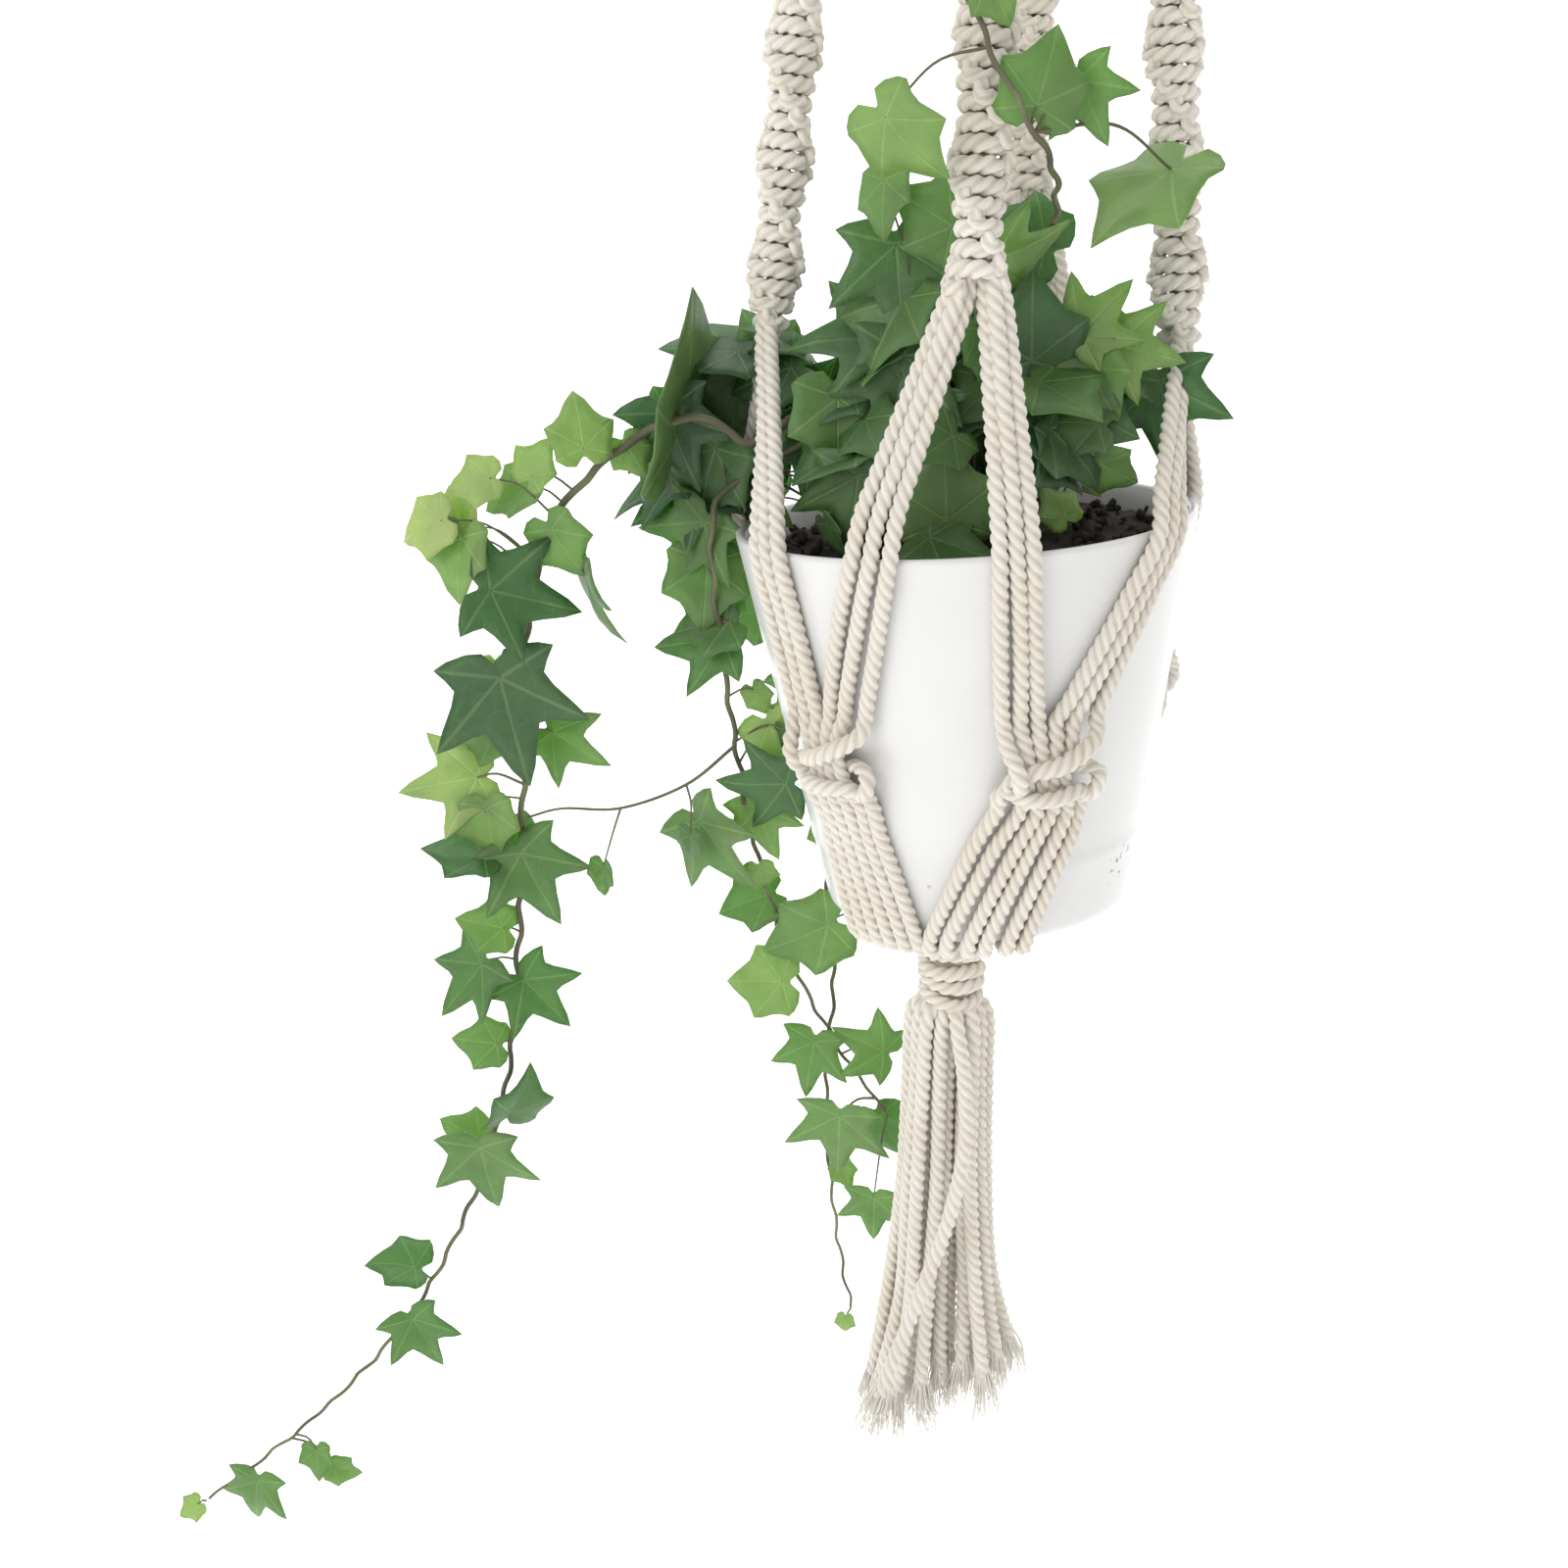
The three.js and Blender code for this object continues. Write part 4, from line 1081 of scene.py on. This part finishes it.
# %% The four vines
VINES = {
    "ivy_stem_long": {
        "route": [(-50, -8, 140), (-62, -10, 133), (-76, -9, 140), (-98, -5, 131), (-120, -2, 108),
                  (-131, 0, 70), (-134, 0, 18), (-138, 0, -30), (-145, 0, -80), (-160, 0, -125),
                  (-185, 0, -172), (-222, 0, -216), (-268, 0, -258)],
        "width": (2.4, 1.1),
        "leaves": [
            (0.06, (-5, 8, 5), 77, 82, 60, "broad", 0.36), (0.07, (-3, 7, -6), -70, 10, 34, "star", 0.14),
            (0.10, (-2, 2, -5), -60, 0, 15, "young", 0.6), (0.12, (-7, -6, 8), 100, 20, 22, "young", 0.7),
            (0.15, (-10, -3, 8), 60, -15, 17, "young", 0.7), (0.17, (-22, -4, 11), 190, 10, 18, "young", 0.8),
            (0.16, (-16, 6, 2), 200, 30, 22, "young", 0.6), (0.18, (4, -3, -3), -60, 25, 24, "young", 0.55),
            (0.19, (14, -2, -14), -75, 70, 30, "star", 0.3), (0.20, (-32, -3, 11),
            200, 10, 22, "young", 0.92),
            (0.20, (-24, 4, 13), 110, -20, 18, "young", 0.85), (0.21, (-21, -5, 7),
            -100, 20, 26, "young", 0.7),
            (0.22, (-2, -8, 1), -14, -8, 37, "star", 0.14), (0.25, (-9, -2, -9), -90, 0, 12, "young", 0.7),
            (0.26, (-3, -9, -14), -76, 6, 46, "star", 0.15), (0.31, (14, 2, -2), -30, 10, 27, "star", 0.45),
            (0.30, (-12, 2, -3), 200, 15, 26, "broad", 0.5), (0.34, (-21, -3, 1), 186, 5, 33, "star", 0.85),
            (0.35, (-10, -4, -7), -85, 0, 23, "young", 0.6), (0.38, (-17, -5, -2),
            172, 55, 27, "broad", 0.08),
            (0.385, (4, -5, -6), -62, 0, 35, "star", 0.38), (0.40, (-6, 7, 8), 140, 20, 24, "broad", 0.3),
            (0.44, (-9, -3, 3), 160, 10, 21, "young", 0.5), (0.46, (-15, -4, -6), 232, 20, 30, "star", 0.28),
            (0.465, (7, -3, -8), -45, -10, 29, "star", 0.36), (0.52, (-9, -3, 1), 170, 10, 20, "young", 0.45),
            (0.58, (8, -3, 9), 55, 60, 26, "broad", 0.2), (0.60, (-1, -6, -5), -82, 5, 35, "star", 0.45),
            (0.61, (-8, 5, 6), 150, 20, 20, "young", 0.5), (0.72, (-10, -3, 8), 165, 55, 23, "broad", 0.2),
            (0.75, (4, -5, -6), -62, 0, 28, "star", 0.4), (0.90, (9, -3, -8), -85, 10, 16, "young", 0.4),
            (0.905, (18, 1, -14), -25, 0, 14, "young", 0.45), (0.96, (6, -3, -6), -102, 5, 27, "star", 0.42),
            (1.0, (-6, 0, -4), 215, 10, 12, "young", 0.7),
        ],
    },
    "ivy_stem_side": {
        "route": [(-47, 0, 132), (-62, -1, 124), (-73, -2, 112), (-73, 4, 80), (-69, 11, 40), (-64, 17, 5),
                  (-54, 22, -35), (-38, 26, -70), (-20, 28, -98)],
        "width": (2.0, 1.1),
        "leaves": [
            (0.10, (-6, 6, 4), -110, 10, 32, "broad", 0.2), (0.17, (-6, 4, 0), -118, 10, 32, "star", 0.36),
            (0.22, (-3, 3, 0), -92, -10, 28, "broad", 0.42), (0.26, (-2, 1, -2), 190, 20, 24, "broad", 0.3),
            (0.29, (-6, 0, 0), 188, 0, 31, "star", 0.3), (0.36, (9, 2, -1), -60, 30, 13, "young", 0.5),
            (0.42, (17, -6, 3), -70, 50, 14, "young", 0.2), (0.45, (12, -4, 9), -60, 10, 23, "broad", 0.72),
            (0.47, (8, -9, 1), 184, -25, 30, "star", 0.12), (0.52, (5, -3, -2), -72, 10, 25, "star", 0.6),
            (0.55, (-12, -4, -2), -52, 40, 38, "star", 0.52), (0.60, (0, -3, -1), -80, 0, 14, "young", 0.5),
            (0.64, (-6, 6, -4), 200, 20, 24, "broad", 0.35), (0.70, (9, -6, 4), 205, -20, 31, "broad", 0.55),
            (0.75, (-10, -4, -3), 182, 10, 26, "broad", 0.76), (0.87, (-8, -4, -5),
            -100, 10, 27, "star", 0.5),
            (0.89, (9, -5, 6), 150, 0, 26, "star", 0.45), (0.97, (-12, -6, -11), -92, 10, 35, "star", 0.5),
            (0.99, (1, 4, -10), -60, 20, 24, "broad", 0.3), (1.0, (-4, -4, -36), -90, 10, 25, "star", 0.42),
        ],
    },
    "ivy_stem_back": {
        "route": [(-38, 28, 134), (-50, 40, 126), (-61, 49, 112), (-60, 50, 80), (-56, 50, 40), (-46, 48, 0),
                  (-40, 44, -50), (-42, 42, -100), (-38, 40, -150), (-32, 40, -186)],
        "width": (2.0, 1.0),
        "leaves": [
            (0.10, (-8, 8, 4), 160, 200, 30, "broad", 0.2), (0.17, (2, 10, -4), -80, 190, 30, "star", 0.25),
            (0.24, (-10, 4, 0), 200, 160, 26, "broad", 0.35), (0.31, (6, 9, -4), -60, 185, 28, "star", 0.4),
            (0.38, (-6, 8, 2), 190, 170, 22, "young", 0.55), (0.46, (4, 7, -4), -90, 180, 20, "young", 0.6),
            (0.55, (18, -2, 2), 20, 20, 11, "young", 0.5), (0.83, (5, -3, 1), -60, 0, 12, "young", 0.45),
            (1.0, (-2, -2, -5), -95, 10, 9, "young", 0.6),
        ],
    },
    "ivy_stem_top": {
        "route": [(18, -14, 184), (18, -34, 195), (16, -54, 203), (10.5, -67, 211), (4.6, -69, 220),
                  (-0.6, -68, 229), (-4.9, -67, 238), (-8, -66, 246)],
        "width": (1.8, 1.3),
        "leaves": [
            (0.81, (-19, 2, -19), -48, 52, 27, "broad", 0.6), (0.62, (2.5, 2, 9), 75, 10, 23, "broad", 0.5),
            (0.60, (12, 8, 7), -62, 15, 22, "star", 0.45), (0.60, (28, 24, -12), 218, 48, 36, "broad", 0.66),
            (0.88, (4, -3, 4), -60, 10, 15, "young", 0.45), (1.0, (-2, -2, 3), 100, 15, 12, "young", 0.75),
        ],
    },
}

for name, vine in VINES.items():
    route = [above_base(*place) for place in vine["route"]]
    dense = smooth_route(route, 1)
    far = travelled(dense)
    leaves = Foliage(name)
    for share, offset, tip_angle, lean, size, kind, tone in vine["leaves"]:
        node = Vector([np.interp(share * far[-1], far, dense[:, axis]) for axis in range(3)])
        tip = heading(tip_angle, leaves.chance.uniform(-0.35, 0.25))
        leaves.leaf(node + Vector(offset), tip, facing(tip, lean), size, kind, tone, stalk_from=node)
    leaf_name = name.replace("stem", "leaves")
    stalks = leaves.done(leaf_name)
    bent = []
    for index, place in enumerate(dense[::5]):
        bent.append(Vector(place) + 0.7 * Vector((math.sin(index * 1.9), math.cos(index * 1.3), 0)))
    piece = thin_tubes(name.replace("stem", "shoot"), [(bent, *vine["width"]), *stalks], bark)
    give(piece, "planted_pot", [name])

# %% [markdown]
# A thin runner crosses from the side vine to the long one and carries two small hanging leaves.

# %% Cross runner
runner = Foliage("runner")
runner_route = [above_base(*place) for place in
                ((-69, 12, 38), (-84, 8, 26), (-104, 4, 19), (-122, 2, 19), (-133, 1, 16))]
for root, offset in ((2, (-6, -2, -22)), (1, (1, -2, -19))):
    tip = heading(-95)
    runner.leaf(runner_route[root] + Vector(offset), tip, facing(tip, 35), 14, "young", 0.2,
                stalk_from=runner_route[root])
runner_lines = [(runner_route, 1.2, 0.8), *runner.done("ivy_runner_leaves")]
give(thin_tubes("ivy_runner", runner_lines, bark), "planted_pot")

# %% [markdown]
# The mass over the soil has some large leaves that are placed one by one, because they make the silhouette,
# and smaller ones that fill the space between them. Those face outwards and up, as leaves do for light. Their
# tones are kept to the dark end, partly for older leaves and partly as painted shade between the large ones.

# %% Crown of leaves
CROWN_MIDDLE = above_base(-4, 2, 144)
CROWN_REACH = Vector((50, 46, 34))
SMALL_LEAVES = 96
GOLDEN_ANGLE = 2.39996  # spreads any number of directions evenly
crown = Foliage("crown")
LARGE_LEAVES = [
    ((-21, -24, 178), -84, 0, 36, "star", 0.26), ((-33, -20, 162), 178, 20, 32, "star", 0.14),
    ((-20, -27, 150), -102, 5, 37, "star", 0.16), ((-36, -27, 141), -88, -10, 29, "broad", 0.42),
    ((-31, -33, 121), -98, 5, 32, "star", 0.38), ((-37, -31, 112), -60, 65, 15, "young", 0.25),
    ((-7, -38, 124), 94, 0, 30, "broad", 0.40), ((-5, -42, 112), -12, -30, 28, "star", 0.3),
    ((9, -30, 184), 18, 50, 30, "star", 0.5), ((12, -20, 188), 150, 0, 25, "broad", 0.06),
    ((14, -28, 164), 92, 5, 31, "broad", 0.16), ((30, -27, 168), 50, 0, 25, "star", 0.6),
    ((41, -24, 160), -12, 10, 26, "star", 0.68), ((31, -28, 152), -60, 20, 22, "broad", 0.46),
    ((50, -16, 144), -82, 10, 34, "star", 0.12), ((28, -31, 142), 175, 10, 18, "broad", 0.3),
    ((36, -30, 130), -30, 30, 16, "young", 0.5), ((22, -37, 121), 130, -30, 14, "young", 0.7),
    ((-76, 14, 126), -112, 10, 34, "star", 0.2), ((-83, 12, 116), 198, 25, 36, "star", 0.03),
    ((-74, 10, 157), 172, 45, 30, "broad", 0.12), ((-67, 14, 145), -100, -10, 32, "broad", 0.3),
    ((-93, 12, 117), 202, 40, 30, "star", 0.04), ((-60, 18, 156), 120, 10, 26, "broad", 0.25),
    ((-66, 14, 112), -95, 10, 32, "star", 0.36), ((-54, 14, 160), 150, 60, 24, "star", 0.2),
    ((-84, 16, 139), 60, 20, 24, "broad", 0.3), ((-72, 20, 136), -60, 0, 32, "broad", 0.12),
    ((-58, 20, 134), -80, 10, 34, "star", 0.16), ((-72, 16, 104), -110, -10, 26, "star", 0.4),
    ((-57, 8, 150), 200, 20, 26, "broad", 0.2), ((-46, 4, 128), -95, 0, 26, "star", 0.1),
    ((-6, -12, 158), 40, 10, 30, "star", 0.08), ((0, -14, 140), -70, 0, 30, "broad", 0.06),
    ((-26, -12, 132), -60, 0, 32, "broad", 0.05), ((20, -14, 146), 0, 0, 26, "star", 0.05),
    ((-25, -34, 197), -96, 35, 20, "young", 0.45), ((-12, -34, 193), 150, -20, 24, "broad", 0.4),
]
for middle, tip_angle, lean, size, kind, tone in LARGE_LEAVES:
    tip = heading(tip_angle, crown.chance.uniform(-0.3, 0.1))
    place = above_base(*middle)
    root_x = middle[0] * 0.3 + crown.chance.uniform(-12, 12)
    root_y = middle[1] * 0.3 + crown.chance.uniform(-8, 8)
    soil_root = above_base(root_x, root_y, soil_top)
    crown.leaf(place, tip, facing(tip, lean), size, kind, tone, stalk_from=soil_root)
for number in range(SMALL_LEAVES):
    azimuth = number * GOLDEN_ANGLE + crown.chance.uniform(-0.3, 0.3)
    height = crown.chance.uniform(-0.75, 0.95)
    depth = crown.chance.uniform(0.45, 1.02)
    girth = math.sqrt(max(0.05, 1 - height * height))
    out = Vector((math.cos(azimuth) * girth, math.sin(azimuth) * girth, height))
    place = CROWN_MIDDLE + Vector([a * b for a, b in zip(out, CROWN_REACH)]) * depth
    face = out + Vector((0, 0, 0.7)) + Vector([crown.chance.uniform(-0.5, 0.5) for _ in range(3)])
    tip = Vector((out.x, out.y, -0.5))
    tip += Vector((crown.chance.uniform(-0.8, 0.8), crown.chance.uniform(-0.8, 0.8), 0))
    soil_root = above_base(out.x * 16, out.y * 16, soil_top)
    kind = crown.chance.choice(("star", "broad", "broad", "young"))
    size = crown.chance.uniform(19, 31) * (0.7 if kind == "young" else 1)
    # Fill leaves get only the darker tones: partly leaf age, partly painted shade inside the crown.
    crown.leaf(place, tip, face, size, kind, crown.chance.uniform(0.0, 0.45), stalk_from=soil_root)
crown_stalks = crown.done("ivy_crown", ["ivy_foliage"])
give(thin_tubes("ivy_crown_stalks", crown_stalks, bark), "planted_pot")

# %% [markdown]
# ## Room and light
# The planter hangs in front of a pale wall in soft daylight. A floor and a wall in one sweep stand for the
# room. The light is an even sky with one broad panel from the front left, well above the pot, so that the
# rope's grooves show without hard shadows. A second panel, above, lights the wall.

# %% Floor, wall and light
paper = Shader("pale_paper").done({"Base Color": (0.93, 0.93, 0.93, 1), "Roughness": 1.0,
                                   "Emission Color": (1, 1, 1, 1), "Emission Strength": 0.4})
sweep_work = bmesh.new()
FLOOR_Z = -1.34
WALL_Y = 2.6
SWEEP_BEND = 0.8
SWEEP_HALF = 6.0
line = [sweep_work.verts.new((-SWEEP_HALF, y, FLOOR_Z)) for y in (-5, WALL_Y - SWEEP_BEND)]
for step in range(1, 13):
    angle = math.pi / 2 * step / 12
    y = WALL_Y - SWEEP_BEND * (1 - math.sin(angle))
    line.append(sweep_work.verts.new((-SWEEP_HALF, y, FLOOR_Z + SWEEP_BEND * (1 - math.cos(angle)))))
line.append(sweep_work.verts.new((-SWEEP_HALF, WALL_Y, 3.2)))
line_edges = [sweep_work.edges.new(pair) for pair in zip(line, line[1:])]
grown = bmesh.ops.extrude_edge_only(sweep_work, edges=line_edges)
moved = [item for item in grown["geom"] if isinstance(item, bmesh.types.BMVert)]
bmesh.ops.translate(sweep_work, vec=(2 * SWEEP_HALF, 0, 0), verts=moved)
bmesh.ops.recalc_face_normals(sweep_work, faces=sweep_work.faces)
paper_sweep = finished("paper_sweep", mesh_from(sweep_work, "paper_sweep", 1), paper)

world = bpy.data.worlds.new("soft_sky")
world.use_nodes = True
world.node_tree.nodes["Background"].inputs[0].default_value = (1, 1, 1, 1)
world.node_tree.nodes["Background"].inputs[1].default_value = 0.66
bpy.context.scene.world = world
bpy.context.scene.view_settings.view_transform = "Standard"


def panel(name, place, target, size, power):
    light = bpy.data.lights.new(name, "AREA")
    light.shape = "RECTANGLE"
    light.size, light.size_y = size
    light.energy = power
    holder = bpy.data.objects.new(name, light)
    holder.location = place
    holder.rotation_euler = (Vector(target) - Vector(place)).to_track_quat("-Z", "Y").to_euler()
    bpy.context.scene.collection.objects.link(holder)


panel("window_panel", (-1.3, -1.6, 0.4), (0, 0, -0.75), (1.4, 1.4), 17)
panel("wall_wash", (0.4, 0.9, 1.6), (0.3, 2.6, -0.8), (3.6, 0.8), 34)
print("floor at", FLOOR_Z)
